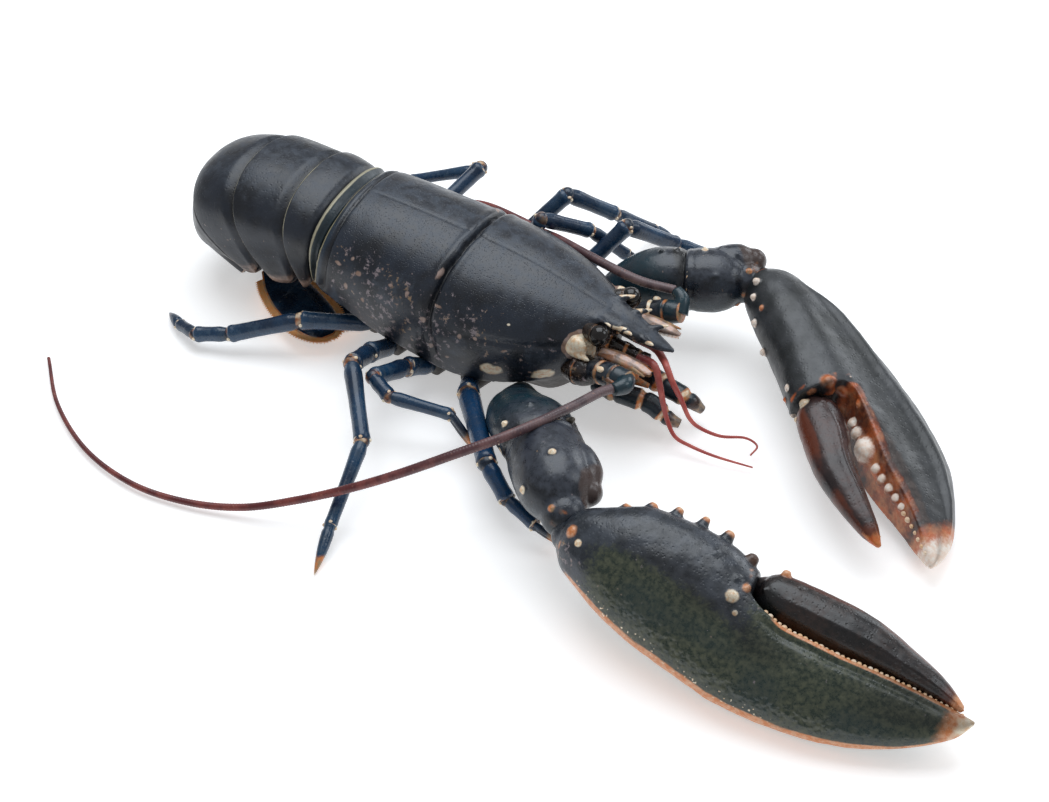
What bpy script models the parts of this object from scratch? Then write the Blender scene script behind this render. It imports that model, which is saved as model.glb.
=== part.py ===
"""A whole European lobster, raw and blue-black, lying at rest with its tail curled under.

The frame is +X towards the head, +Y towards the lobster's left, +Z up, with the floor at Z = 0.
Every size and place below is in millimetres; the objects are built in metres.
The body is modelled from x = 0 at the carapace's rear margin, and everything is
moved at the end so that the origin lies under the middle of the whole animal.
"""

import math

import bmesh
import bpy
import numpy as np

MM = 0.001
GAP = 0.4  # clearance between neighbouring shells
RIGHT, LEFT = -1, 1
SIDE_NAMES = {RIGHT: "right", LEFT: "left"}

# Carapace, by distance from its rear margin: crest height, half width, height of the widest
# place, and height and half width of the lower edge.
CARAPACE_X = (-3.2, -1, 3, 12, 25, 40, 52, 64, 75, 86, 95, 102, 107)
CARAPACE_TOP = (56.4, 57.6, 58.2, 58.5, 58, 57, 56.2, 55.2, 53.4, 50.6, 48, 46, 44.5)
CARAPACE_HALF = (29.3, 30, 30.6, 31.8, 33, 34, 34, 33, 31, 27.5, 23, 18.5, 14)
CARAPACE_WIDEST = (38, 37, 36, 33, 30, 28, 28, 28, 28, 28.5, 29.5, 31, 33.5)
CARAPACE_EDGE = (29, 27, 25, 21.5, 18, 15.5, 13.5, 12.8, 13.8, 16, 19, 22.5, 27)
CARAPACE_EDGE_HALF = (28.5, 29, 29.5, 30.5, 31.5, 32, 32, 30.5, 28, 24, 19.5, 15, 11.5)
REAR_FLARE = 4  # how much further back the rear margin reaches low on the sides
GROOVE_DEPTH = 1.8
GROOVE_WIDTH = 1.9
RIM_PLACE = 0
RIM_DEPTH = 0.9

# Rostrum: half width and crest height by distance from the carapace's rear margin.
ROSTRUM_X = (98, 106, 114, 122, 129, 134.5)
ROSTRUM_HALF = (10, 8.4, 6.4, 4.6, 2.8, 0.7)
ROSTRUM_TOP = (46.4, 45.2, 43.4, 40.6, 37.6, 35.4)
ROSTRUM_THICK = 5.5
ROSTRUM_TEETH = ((108, 8.0), (116, 6.2), (124, 4.4))

EYE_PLACE = (109.5, 12.4, 41)
EYE_RADIUS = 4.2

# Abdomen: dorsal and ventral points (x, z), half width and pleura drop at each joint line.
TAIL_DORSAL = ((-4.1, 54.5), (-9, 56.4), (-25, 58), (-50.8, 56.6), (-73, 45.5), (-77.2, 23.5), (-54, 1.2))
TAIL_VENTRAL = ((-8.6, 29), (-11, 28), (-18, 26.5), (-36, 25), (-50, 21), (-55, 15.5), (-50, 8.2))
TAIL_HALF = (25.5, 26.5, 27.5, 28, 26.6, 21, 15.5)
TAIL_PLEURA = (2, 5, 7, 8, 7, 4, 1)

# Walking legs, from the hip outwards: hip, ischium end, knee, carpus end, propodus end, tip.
LEG_JOINTS = {
    (RIGHT, 2): (
        (62, -27, 7.4), (68, -38, 12.5), (96.5, -72, 20), (108, -77.5, 12.5), (121, -80, 8), (134, -80.5, 4),
    ),
    (RIGHT, 3): (
        (45, -27, 8), (41, -39, 15), (38.5, -57.5, 23.5), (48.5, -62, 22), (70, -54, 16.5), (87, -58, 3),
    ),
    (RIGHT, 4): (
        (27, -27, 10), (27.5, -44, 20), (30, -58.5, 27), (51.5, -85, 20), (57, -116, 6.5), (62, -134, 1),
    ),
    (RIGHT, 5): (
        (14, -22, 12), (-8, -38.5, 16.5), (-33, -52, 8.5), (-46, -57, 6.5), (-57, -53, 3.8), (-66, -48, 2),
    ),
    (LEFT, 2): (
        (66, 27, 8), (70.5, 43.2, 14.2), (83, 60, 31), (97, 77.5, 15), (112, 88, 6), (124, 91, 2),
    ),
    (LEFT, 3): (
        (47, 27, 8), (45, 40, 14.5), (55.5, 39.5, 38), (69.4, 54.7, 27), (81.3, 64.6, 12), (87, 69, 3),
    ),
    (LEFT, 4): (
        (34, 27, 9), (37, 42, 12), (55, 61.5, 35), (70, 75, 21.5), (80.5, 91, 6), (87.5, 95.5, 1.6),
    ),
    (LEFT, 5): (
        (14, 22, 12), (1, 43, 15.5), (9, 70, 25), (4, 74, 19), (-24, 66.5, 8), (-42, 60, 1.5),
    ),
}
LEG_RADII = (3.6, 3.6, 3.3, 3.0, 2.5, 0.8)
# How far each leg goes on inwards from its hip, under the body, and how much higher it starts there.
HIP_ROOTS = {2: (7.6, -3.2), 3: (7.8, -3.0), 4: (8.8, -2.8), 5: (6.6, 0.6)}

# Claws: wrist end of the palm, tip, and roll about the long axis. The outlines run along the
# claw: how far the palm reaches outwards and towards the free finger, its half thickness,
# then the same for the free finger.
CLAWS = {
    RIGHT: {
        "wrist": (140.8, -94.1, 26.5), "tip": (291.8, -92.9, 14.4), "roll": 30,
        "along": (0, 4, 12, 25, 40, 55, 66, 68.2, 76, 85, 100, 115, 130, 140, 147, 150),
        "outer": (6, 10.5, 14.5, 20, 24, 26.5, 28.3, 28.7, 28.7, 28.3, 26.8, 23, 16.6, 10.1, 3.7, -2),
        "inner": (8, 12, 16.5, 22, 23.3, 21.5, 17.5, 8, 4.6, 2.8, 2.7, 3.6, 4, 3.8, 3.4, 3.2),
        "thick": (7, 10.2, 13, 15, 15.2, 14.6, 13.8, 13.6, 12.9, 12, 10.8, 9, 6.6, 4.6, 2.4, 0.7),
        "finger": (68.8, 70, 74, 82, 97, 109, 121, 131, 140, 145),
        "near": (11, 9.2, 7.4, 5.8, 5.6, 6.4, 6.6, 6.5, 6.1, 5.5),
        "far": (16, 18.3, 20.2, 20.8, 20.9, 19.7, 16.5, 13.5, 9.4, 6.3),
        "deep": (5, 7.5, 9.5, 10, 9.5, 8.5, 7.2, 5.6, 3.2, 0.9),
        "spines": (14, 22, 31, 40.5, 50),
        "spine_size": 4,
    },
    LEFT: {
        "wrist": (143, 60, 28), "tip": (253, -29, 10), "roll": 16,
        "along": (0, 4, 12, 25, 40, 55, 62.4, 64.6, 70, 85, 100, 115, 125, 134, 140, 142.5),
        "outer": (8, 12, 15, 20.3, 24.9, 28.8, 30, 30.3, 31.1, 31.5, 29.8, 24.2, 18.5, 12, 5, -1),
        "inner": (7.5, 10, 11.5, 13.2, 14.8, 18, 19, 2.2, 0, 1, 2, 1.2, 1.2, 2, 2.4, 2.4),
        "thick": (7, 9.6, 12, 13.6, 14, 13.8, 13.4, 13.2, 12.8, 11.6, 10, 8.2, 6.6, 4.6, 2.6, 0.8),
        "finger": (65.2, 66.5, 71, 80, 98, 114, 124, 131),
        "near": (6.5, 4.8, 4.0, 5.4, 12, 14, 15.6, 17.2),
        "far": (15.5, 18.4, 20.8, 22.8, 25.3, 23.8, 21.6, 18.6),
        "deep": (4.5, 6.5, 7.8, 8, 6.8, 5, 3.2, 0.8),
        "spines": (8, 15, 23, 33),
        "spine_size": 3,
    },
}
MOLARS = ((76, 2.8), (83, 3.6), (92, 4.6), (101, 3.2), (108, 2.4), (115, 2.0))

# Claw arms: body end, elbow, wrist.
ARMS = {
    RIGHT: ((83, -24, 8.5), (91.5, -40, 15.5), (104, -52, 24), (113.4, -60.6, 26.5)),
    LEFT: ((84, 24, 8.5), (95, 39.5, 19.2), (107, 44.3, 26.3), (116.6, 47.4, 27)),
}
ARM_SIDES = {RIGHT: (5, 10, 13.5, 15, 14), LEFT: (5, 7.5, 10.5, 11.8, 11)}
ARM_UPS = {RIGHT: (5, 8.5, 10.5, 11.5, 11), LEFT: (5, 7.5, 10, 11.3, 10.5)}
WRISTS = {
    RIGHT: ((114.6, -61.8, 26.8), (127.5, -76.8, 30), (136.6, -87.2, 29)),
    LEFT: ((118.1, 48, 27.1), (130, 53, 28), (136.4, 56, 28)),
}
WRIST_RADII = {RIGHT: (12, 14, 14.3, 13, 7), LEFT: (10, 12, 12.5, 11.2, 6.5)}
KNUCKLES = {RIGHT: (139.4, -73.6, 32), LEFT: (135.6, 63.4, 34.4)}
KNUCKLE_RADIUS = 6.2

# Long antennae, short antennules, antennal scales and mouth legs, as the places they pass through.
ANTENNAE = {
    RIGHT: (
        (124.6, -29, 35.5), (122, -36, 37.5), (118, -50, 40), (108.5, -73, 42.5), (94, -88, 38),
        (77, -99, 29), (60, -107.5, 20), (42, -114.5, 11), (23, -122.5, 4.5), (3, -129, 2.6),
        (-20, -131.5, 2.3), (-46, -126, 2.1), (-71, -112, 2.0), (-91, -93, 1.8),
    ),
    LEFT: (
        (121, 26.6, 39), (106.5, 24.8, 39), (89, 28, 38), (65.6, 36.6, 33.6), (51.2, 45.6, 25.8),
        (42.5, 46.8, 26.5), (24.5, 51.5, 23.5), (12, 54.5, 18), (3, 54, 11), (-8, 54, 6),
        (-24, 52, 3), (-42, 47, 2.4), (-58, 38, 2.2), (-70, 26, 2.1), (-78, 12, 2),
    ),
}
ANTENNA_RADII = (1.9, 1.8, 1.5, 1.1, 0.7)
BASE_RADII = (4, 4.6, 4.6, 4)
ANTENNA_BASES = {
    RIGHT: ((110.6, -18, 29.2), (117.3, -20.4, 32), (127, -22.2, 34)),
    LEFT: ((110.6, 18, 29.2), (117.3, 19.8, 32), (127, 20.6, 35)),
}
ANTENNULES = {
    RIGHT: (
        (116, -4.5, 30.5), (126, -6, 31.5), (131, -8.3, 32), (134, -10, 26), (136, -11, 20),
        (139, -12.2, 12), (143.5, -14, 7), (150, -13.7, 5), (160, -13, 4), (174, -10, 2.6),
    ),
    LEFT: (
        (116, 4.5, 30), (125, 3, 30), (131, -1.5, 30.3), (134.5, -5.5, 31), (138.5, -7.7, 26.5),
        (142, -7.5, 20), (146, -8, 13), (150, -7, 9), (158, -5.3, 7), (166, -0.6, 6),
        (171.4, -1.3, 5), (171, -6, 4),
    ),
}
ANTENNULE_RADII = (1.9, 1.5, 1.1, 0.8, 0.5)
SCALE_SIDES = (2.4, 3.2, 3, 0.9)
SCALE_UPS = (1.2, 1.4, 1.2, 0.5)
SCALES = {
    RIGHT: ((110, -11.5, 33), (120, -12, 33.5), (131, -12.2, 32)),
    LEFT: ((110, 11.5, 33), (120, 12, 33.5), (131, 12.2, 32)),
}
MAXILLIPED_SIDES = (2.6, 3.3, 3.3, 3, 1.4)
MAXILLIPED_UPS = (2.4, 3.1, 3.1, 2.8, 1.4)
MAXILLIPEDS = {
    RIGHT: ((106, -7, 11), (118, -9, 13), (129, -7.5, 12), (137, -7.8, 8.5), (142, -7, 7)),
    LEFT: ((106, 7, 11), (118, 6, 13), (130, 3, 13), (141, 1.7, 12), (146, 3.5, 7.5)),
}


def clear_scene():
    for item in list(bpy.data.objects):
        bpy.data.objects.remove(item, do_unlink=True)


def make_material(name, colour, roughness, metallic=0.0):
    material = bpy.data.materials.new(name)
    material.use_nodes = True
    shader = material.node_tree.nodes["Principled BSDF"]
    shader.inputs["Base Color"].default_value = (*colour, 1.0)
    shader.inputs["Roughness"].default_value = roughness
    shader.inputs["Metallic"].default_value = metallic
    return material


def blend(at, xs, ys):
    """The value at `at` on a smooth curve through (xs, ys) that never overshoots its points."""
    xs, ys = np.asarray(xs, float), np.asarray(ys, float)
    steps = np.diff(ys) / np.diff(xs)
    before, after = steps[:-1], steps[1:]
    same_way = before * after > 0
    total = np.where(same_way, before + after, 1.0)
    inner = np.where(same_way, 2 * before * after / total, 0.0)
    slopes = np.concatenate([[steps[0]], inner, [steps[-1]]])
    at = np.clip(at, xs[0], xs[-1])
    i = np.clip(np.searchsorted(xs, at, side="right") - 1, 0, len(xs) - 2)
    width = xs[i + 1] - xs[i]
    t = (at - xs[i]) / width
    return (
        ys[i] * (1 + 2 * t) * (1 - t) ** 2
        + ys[i + 1] * t * t * (3 - 2 * t)
        + width * slopes[i] * t * (1 - t) ** 2
        - width * slopes[i + 1] * t * t * (1 - t)
    )


def unit(vector):
    return vector / np.linalg.norm(vector)


def smooth_path(points, count):
    """`count` evenly spaced points on one smooth curve through the given points."""
    points = np.asarray(points, float)
    ends = np.vstack([2 * points[0] - points[1], points, 2 * points[-1] - points[-2]])
    dense = []
    for p0, p1, p2, p3 in zip(ends, ends[1:], ends[2:], ends[3:]):
        for t in np.linspace(0, 1, 24, endpoint=False):
            dense.append(
                0.5 * (2 * p1 + (p2 - p0) * t + (2 * p0 - 5 * p1 + 4 * p2 - p3) * t**2
                       + (3 * p1 - 3 * p2 + p3 - p0) * t**3)
            )
    dense = np.array([*dense, points[-1]])
    walked = np.concatenate([[0], np.cumsum(np.linalg.norm(np.diff(dense, axis=0), axis=1))])
    at = np.linspace(0, walked[-1], count)
    return np.stack([np.interp(at, walked, dense[:, k]) for k in range(3)], axis=1)


def directions(path, up=(0, 0, 1)):
    """Forward, side and up unit vectors at each point of a path, turning as little as possible."""
    forward = np.array([unit(v) for v in np.gradient(path, axis=0)])
    side = np.cross(up, forward[0])
    sides = []
    for ahead in forward:
        side = unit(side - ahead * (side @ ahead))
        sides.append(side)
    sides = np.array(sides)
    return forward, sides, np.cross(forward, sides)


def oval(centre, side, up, half_side, half_up, points, power=1.0):
    """A closed ring of points round a centre; a power under 1 makes it squarer."""
    turn = np.arange(points) * 2 * math.pi / points
    across = np.sign(np.cos(turn)) * np.abs(np.cos(turn)) ** power
    above = np.sign(np.sin(turn)) * np.abs(np.sin(turn)) ** power
    return centre + half_side * across[:, None] * side + half_up * above[:, None] * up


def loft(name, rings, material):
    """One closed body over a row of rings, each end closed by a fan round its middle."""
    mesh_maker = bmesh.new()
    loops = [[mesh_maker.verts.new(point * MM) for point in ring] for ring in rings]
    count = len(loops[0])
    for near, far in zip(loops, loops[1:]):
        for i in range(count):
            j = (i + 1) % count
            mesh_maker.faces.new((near[i], near[j], far[j], far[i]))
    for loop, ring in ((loops[0], rings[0]), (loops[-1], rings[-1])):
        middle = mesh_maker.verts.new(np.mean(ring, axis=0) * MM)
        for i in range(count):
            mesh_maker.faces.new((loop[i], loop[(i + 1) % count], middle))
    bmesh.ops.recalc_face_normals(mesh_maker, faces=mesh_maker.faces)
    mesh = bpy.data.meshes.new(name)
    mesh_maker.to_mesh(mesh)
    mesh_maker.free()
    mesh.shade_smooth()
    mesh.set_sharp_from_angle(angle=math.radians(50))
    mesh.materials.append(material)
    made = bpy.data.objects.new(name, mesh)
    bpy.context.scene.collection.objects.link(made)
    return made


def tube(name, points, half_sides, half_ups, material, stations=8, sides=8, up=(0, 0, 1)):
    """A tapering limb along a smooth path; half sizes are spread evenly along it."""
    path = smooth_path(points, stations)
    _, side, above = directions(path, up)
    at = np.linspace(0, 1, stations)
    wide = blend(at, np.linspace(0, 1, len(half_sides)), half_sides)
    tall = blend(at, np.linspace(0, 1, len(half_ups)), half_ups)
    rings = [oval(path[i], side[i], above[i], wide[i], tall[i], sides) for i in range(stations)]
    return loft(name, rings, material)


def ball(name, place, radii, material, segments=12, rings=8):
    mesh_maker = bmesh.new()
    bmesh.ops.create_uvsphere(mesh_maker, u_segments=segments, v_segments=rings, radius=1.0)
    bmesh.ops.scale(mesh_maker, vec=[r * MM for r in radii], verts=mesh_maker.verts)
    bmesh.ops.translate(mesh_maker, vec=[c * MM for c in place], verts=mesh_maker.verts)
    mesh = bpy.data.meshes.new(name)
    mesh_maker.to_mesh(mesh)
    mesh_maker.free()
    mesh.shade_smooth()
    mesh.materials.append(material)
    made = bpy.data.objects.new(name, mesh)
    bpy.context.scene.collection.objects.link(made)
    return made


def combine(base, others, operation):
    """Joins the other objects to the base, or cuts them from it, and removes them."""
    group = bpy.data.collections.new("operands")
    bpy.context.scene.collection.children.link(group)
    for other in others:
        bpy.context.scene.collection.objects.unlink(other)
        group.objects.link(other)
    modifier = base.modifiers.new("Boolean", "BOOLEAN")
    modifier.operation = operation
    modifier.operand_type = "COLLECTION"
    modifier.collection = group
    modifier.solver = "EXACT"
    graph = bpy.context.evaluated_depsgraph_get()
    result = bpy.data.meshes.new_from_object(base.evaluated_get(graph))
    base.modifiers.remove(modifier)
    base.data = result
    for other in others:
        bpy.data.objects.remove(other, do_unlink=True)
    bpy.data.collections.remove(group)
    return base


def spike(name, root, tip, radius, material, sides=6):
    """A blunt cone-shaped tooth from its root to its tip."""
    root, tip = np.asarray(root, float), np.asarray(tip, float)
    path = np.array([root, root + 0.55 * (tip - root), tip])
    _, side, above = directions(path, up=(0.3, 0.2, 0.93))
    radii = (radius, radius * 0.8, radius * 0.3)
    rings = [oval(path[i], side[i], above[i], radii[i], radii[i], sides) for i in range(3)]
    return loft(name, rings, material)


def shell_ring(x, top, half, widest, edge, edge_half, across, under):
    """One cross-section of the carapace: over the back from right to left, then across beneath."""
    ring = []
    turn_share = 0.74
    for u in np.linspace(-1, 1, across):
        t, way = abs(u), math.copysign(1, u)
        if t < turn_share:
            angle = t / turn_share * math.pi / 2
            y = half * math.sin(angle) ** 0.92
            z = widest + (top - widest) * math.cos(angle) ** 0.96
        else:
            drop = (t - turn_share) / (1 - turn_share)
            y = half + (edge_half - half) * drop**1.6
            z = widest + (edge - widest) * drop
        ring.append((x, way * y, z))
    for v in np.linspace(1, -1, under + 2)[1:-1]:
        ring.append((x, v * edge_half * 0.9, edge + 1.5 * (1 - v * v)))
    return np.array(ring)


def carapace_sizes(x):
    tables = (CARAPACE_TOP, CARAPACE_HALF, CARAPACE_WIDEST, CARAPACE_EDGE, CARAPACE_EDGE_HALF)
    return [float(blend(x, CARAPACE_X, table)) for table in tables]


def groove_line(share):
    """Where the cervical groove runs: its distance from the rear margin, by share of the way down."""
    return 50 - 5.5 * share + 24 * np.clip(share - 0.45, 0, 1) ** 1.6


def build_carapace(shell):
    across, under = 25, 5
    share = np.abs(np.linspace(-1, 1, across))
    rear = (-3.2, -1.8, -0.8, 0, 0.8, 2)
    stations = [*rear, *np.linspace(8, 42, 6), *np.linspace(45, 60, 7), *np.linspace(65, 107, 8)]
    rings = []
    for x in stations:
        ring = shell_ring(x, *carapace_sizes(x), across, under)
        from_groove = (x - groove_line(share)) / GROOVE_WIDTH
        depth = GROOVE_DEPTH * np.exp(-from_groove * from_groove) * np.clip(1.25 - share, 0, 1)
        depth += RIM_DEPTH * math.exp(-((x - RIM_PLACE) ** 2))
        inward = np.array([x, 0, 32]) - ring[:across]
        inward /= np.linalg.norm(inward, axis=1)[:, None]
        ring[:across] += inward * depth[:, None]
        flare = REAR_FLARE * float(np.clip((9 - x) / 12.2, 0, 1))
        ring[:across, 0] -= flare * share**2.5
        ring[across:, 0] -= flare
        rings.append(ring)
    carapace = loft("carapace", rings, shell)
    rostrum_rings = []
    profile = (
        (-1, -0.35), (-0.55, -0.05), (0, 0), (0.55, -0.05), (1, -0.35), (0.5, -0.9), (0, -1), (-0.5, -0.9),
    )
    for x in np.linspace(ROSTRUM_X[0], ROSTRUM_X[-1], 8):
        half = float(blend(x, ROSTRUM_X, ROSTRUM_HALF))
        top = float(blend(x, ROSTRUM_X, ROSTRUM_TOP))
        thick = ROSTRUM_THICK * min(1, half / 4)
        rostrum_rings.append(np.array([(x, y * half, top + z * thick) for y, z in profile]))
    extras = [loft("rostrum", rostrum_rings, shell)]
    for side in (RIGHT, LEFT):
        for x, half in ROSTRUM_TEETH:
            top = float(blend(x, ROSTRUM_X, ROSTRUM_TOP))
            root = (x - 2, side * (half - 2), top - 2)
            extras.append(spike("tooth", root, (x + 5, side * (half + 2.2), top + 0.4), 1.5, shell))
        extras.append(spike("cheek_spine", (99, side * 17.5, 34), (109, side * 19, 33.5), 2.2, shell))
    combine(carapace, extras, "UNION")
    sockets = []
    for side in (RIGHT, LEFT):
        x, y, z = EYE_PLACE
        sockets.append(ball("socket", (x, side * y, z), [EYE_RADIUS + GAP] * 3, shell))
    return combine(carapace, sockets, "DIFFERENCE")


def build_underside(flesh):
    """The sternum, as one narrow keel under the carapace that the animal rests on."""
    rings = []
    for x in np.linspace(6, 102, 13):
        _, _, _, edge, edge_half = carapace_sizes(x)
        ceiling = edge - GAP
        floor = float(blend(x, (6, 18, 30, 84, 102), (16, 8, 0, 0, 12)))
        foot = float(blend(x, (6, 30, 60, 90, 102), (6, 9, 11, 8, 4)))
        top_half = edge_half * 0.86
        rings.append(np.array([
            (x, -foot, floor), (x, foot, floor), (x, foot + 7, floor + 0.62 * (ceiling - floor)),
            (x, top_half, ceiling - 1), (x, top_half - 2, ceiling), (x, 2 - top_half, ceiling),
            (x, -top_half, ceiling - 1), (x, -foot - 7, floor + 0.62 * (ceiling - floor)),
        ]))
    return loft("thorax_underside", rings, flesh)


def tail_ring(share, points):
    """One cross-section of the abdomen; share runs from 0 at the front to 6 at the tail fan."""
    at = np.arange(7)
    dorsal = np.array([blend(share, at, [p[k] for p in TAIL_DORSAL]) for k in range(2)])
    ventral = np.array([blend(share, at, [p[k] for p in TAIL_VENTRAL]) for k in range(2)])
    half = float(blend(share, at, TAIL_HALF))
    pleura = float(blend(share, at, TAIL_PLEURA))
    tall = np.linalg.norm(dorsal - ventral)
    rise = (dorsal - ventral) / tall
    widest = 0.4 * tall
    outline = []
    for u in np.linspace(-1, 1, points):
        t, way = abs(u), math.copysign(1, u)
        if t < 0.75:
            angle = t / 0.75 * math.pi / 2
            high = widest + (tall - widest) * math.cos(angle) ** 0.9
            outline.append((way * half * math.sin(angle) ** 0.9, high))
        else:
            drop = (t - 0.75) / 0.25
            outline.append((way * half * (1 - 0.1 * drop**2), widest - (widest + pleura) * drop))
    for v in (0.62, 0.3, 0, -0.3, -0.62):
        outline.append((v * half, -0.45 * pleura))
    return np.array([(ventral[0] + rise[0] * u, y, ventral[1] + rise[1] * u) for y, u in outline])


def build_tail(shell):
    for number in range(1, 7):
        gap = GAP / 18
        steps = {1: 2, 4: 5, 5: 5, 6: 8}.get(number, 4)
        rings = [tail_ring(s, 17) for s in np.linspace(number - 1 + gap, number - gap, steps)]
        loft(f"tail_ring_{number}", rings, shell)


def leaf(name, root, reach, heading, halves, low, thick, material):
    """A flat oval plate of the tail fan, lying level."""
    heading = math.radians(heading)
    ahead = np.array([math.cos(heading), math.sin(heading), 0])
    across = np.array([-math.sin(heading), math.cos(heading), 0])
    root = np.array([*root, low + thick / 2], float)
    rings = []
    stations = np.linspace(0, 1, 9)
    for s, half in zip(stations, blend(stations, np.linspace(0, 1, len(halves)), halves)):
        place = root + ahead * reach * s
        half_thick = thick / 2 * (1 - 0.5 * s**4)
        rings.append(oval(place, across, np.array([0, 0, 1.0]), half, half_thick, 10, 0.7))
    return loft(name, rings, material)


def build_fan(shell):
    leaf("telson", (-46, 0), 44, 0, (9, 13, 13.5, 12.5, 9.5), 0, 2.4, shell)
    for side in (RIGHT, LEFT):
        word = SIDE_NAMES[side]
        leaf(f"uropod_{word}_inner", (-45, side * 8), 52, side * 13, (4, 10, 13, 12.5, 7), 2.8, 2.2, shell)
        leaf(f"uropod_{word}_outer", (-43, side * 10), 52, side * 27, (4, 11, 13.5, 13, 8), 5.4, 2.2, shell)


def slide_to(ring, ahead, place, facing):
    """The ring's points moved along a limb until they lie on a plane, for a mitred joint."""
    return ring + ahead * (((place - ring) @ facing) / (ahead @ facing))[:, None]


def limb(name, points, radii, material, start_facing=None, end_facing=None, sides=8, flat=0.88):
    """A limb of straight segments with a slight neck at each joint inside it.

    A facing gives the plane that an end is cut along, so that two limbs meet in a mitre."""
    points = [np.asarray(p, float) for p in points]
    bends = [unit(b - a) for a, b in zip(points, points[1:])]
    side = unit(np.cross((0, 0, 1), bends[0]))
    rings = []
    for i, (start, end) in enumerate(zip(points, points[1:])):
        ahead = bends[i]
        side = unit(side - ahead * (side @ ahead))
        above = np.cross(ahead, side)
        neck = min(0.12, 1.5 / np.linalg.norm(end - start))
        first, last = i == 0, i == len(bends) - 1
        swells = [(0, 0.95) if first else (neck, 0.86)]
        swells += [(0.5, 1.0)] if (first and start_facing is not None) else [(0.22, 1.0), (0.7, 1.0)]
        swells += [(1, 0.95) if last else (1 - neck, 0.94)]
        for s, swell in swells:
            radius = (radii[i] * (1 - s) + radii[i + 1] * s) * swell
            ring = oval(start + (end - start) * s, side, above, radius * flat, radius, sides)
            if first and s == 0 and start_facing is not None:
                ring = slide_to(ring, ahead, start + start_facing * GAP / 2, start_facing)
            if last and s == 1 and end_facing is not None:
                ring = slide_to(ring, ahead, end - end_facing * GAP / 2, end_facing)
            rings.append(ring)
    return loft(name, rings, material)


def build_legs(shell):
    for (side, number), joints in LEG_JOINTS.items():
        word = SIDE_NAMES[side]
        joints = np.array(joints, float)
        facing = unit(unit(joints[2] - joints[1]) + unit(joints[3] - joints[2]))
        inward, higher = HIP_ROOTS[number]
        root = joints[0] + (0, -side * inward, higher)
        hip_radii = (LEG_RADII[0], *LEG_RADII[:3])
        limb(f"leg_{word}_{number}_upper", [root, *joints[:3]], hip_radii, shell, end_facing=facing)
        limb(f"leg_{word}_{number}_lower", joints[2:], LEG_RADII[2:], shell, start_facing=facing)


def claw_frame(side):
    """A claw's wrist, and its directions: along it, towards the free finger, and out of its face."""
    wrist, tip = (np.array(CLAWS[side][end], float) for end in ("wrist", "tip"))
    along = unit(tip - wrist)
    level = unit(np.cross((0, 0, 1), along)) * -side
    upright = np.cross(along, level) * -side
    roll = math.radians(CLAWS[side]["roll"])
    across = level * math.cos(roll) + upright * math.sin(roll)
    outward = upright * math.cos(roll) - level * math.sin(roll)
    return wrist, along, across, outward


def claw_part(name, side, stations, inner, outer, deep, points, power, material):
    """A palm or a finger: ovals across the claw between an inner and an outer outline."""
    wrist, along, across, outward = claw_frame(side)
    rings = []
    for a, near, far, thick in zip(stations, inner, outer, deep):
        centre = wrist + along * a + across * (near + far) / 2
        rings.append(oval(centre, across, outward, abs(far - near) / 2, thick, points, power))
    return loft(name, rings, material)


def build_claw(side, shell, tooth):
    word, claw = SIDE_NAMES[side], CLAWS[side]
    wrist, along, across, outward = claw_frame(side)
    lateral = [-reach for reach in claw["outer"]]
    palm = claw_part("palm", side, claw["along"], lateral, claw["inner"], claw["thick"], 18, 0.92, shell)
    palm.name = f"claw_{word}_palm"
    extras = []
    size = claw["spine_size"]
    for a in claw["spines"]:
        root = wrist + along * a + across * (float(blend(a, claw["along"], claw["inner"])) - size * 0.7)
        extras.append(spike("spine", root, root + across * size * 1.25 + along, size * 0.62, shell))
    if side == LEFT:
        for a, radius in MOLARS:
            reach = float(blend(a, claw["along"], claw["inner"]))
            place = wrist + along * a + across * (reach - radius * 0.25) + outward * 2
            extras.append(ball("molar", place, (radius, radius * 0.9, radius * 0.8), tooth, 8, 6))
    combine(palm, extras, "UNION")
    outlines = (claw["finger"], claw["near"], claw["far"], claw["deep"])
    claw_part(f"claw_{word}_finger", side, *outlines, 12, 0.95, shell)


def build_arm(side, shell):
    word = SIDE_NAMES[side]
    tube(f"arm_{word}", ARMS[side], ARM_SIDES[side], ARM_UPS[side], shell, 7, 12)
    wrist = tube(f"wrist_{word}", WRISTS[side], WRIST_RADII[side], WRIST_RADII[side], shell, 8, 12)
    knuckle = ball("knuckle", KNUCKLES[side], [KNUCKLE_RADIUS] * 3, shell)
    combine(wrist, [knuckle], "UNION")


def build_head(shell, eye, red):
    for side in (RIGHT, LEFT):
        word = SIDE_NAMES[side]
        x, y, z = EYE_PLACE
        ball(f"eye_{word}", (x, side * y, z), [EYE_RADIUS] * 3, eye)
        tube(f"antenna_base_{word}", ANTENNA_BASES[side], BASE_RADII, BASE_RADII, shell, 6, 10)
        tube(f"antenna_{word}", ANTENNAE[side], ANTENNA_RADII, ANTENNA_RADII, red, 44, 6)
        tube(f"antennule_{word}", ANTENNULES[side], ANTENNULE_RADII, ANTENNULE_RADII, red, 24, 6)
        tube(f"antenna_scale_{word}", SCALES[side], SCALE_SIDES, SCALE_UPS, shell, 6, 8)
        tube(f"maxilliped_{word}", MAXILLIPEDS[side], MAXILLIPED_SIDES, MAXILLIPED_UPS, shell, 9, 8)


def centre_on_floor():
    """Moves everything so that the origin is at the middle of the bounding box's floor."""
    bpy.context.view_layer.update()
    corners = np.array([v.co for o in bpy.data.objects for v in o.data.vertices])
    low, high = corners.min(0), corners.max(0)
    shift = np.array([(low[0] + high[0]) / 2, (low[1] + high[1]) / 2, low[2]])
    for item in bpy.data.objects:
        for vertex in item.data.vertices:
            vertex.co = np.array(vertex.co) - shift
    return shift


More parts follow.
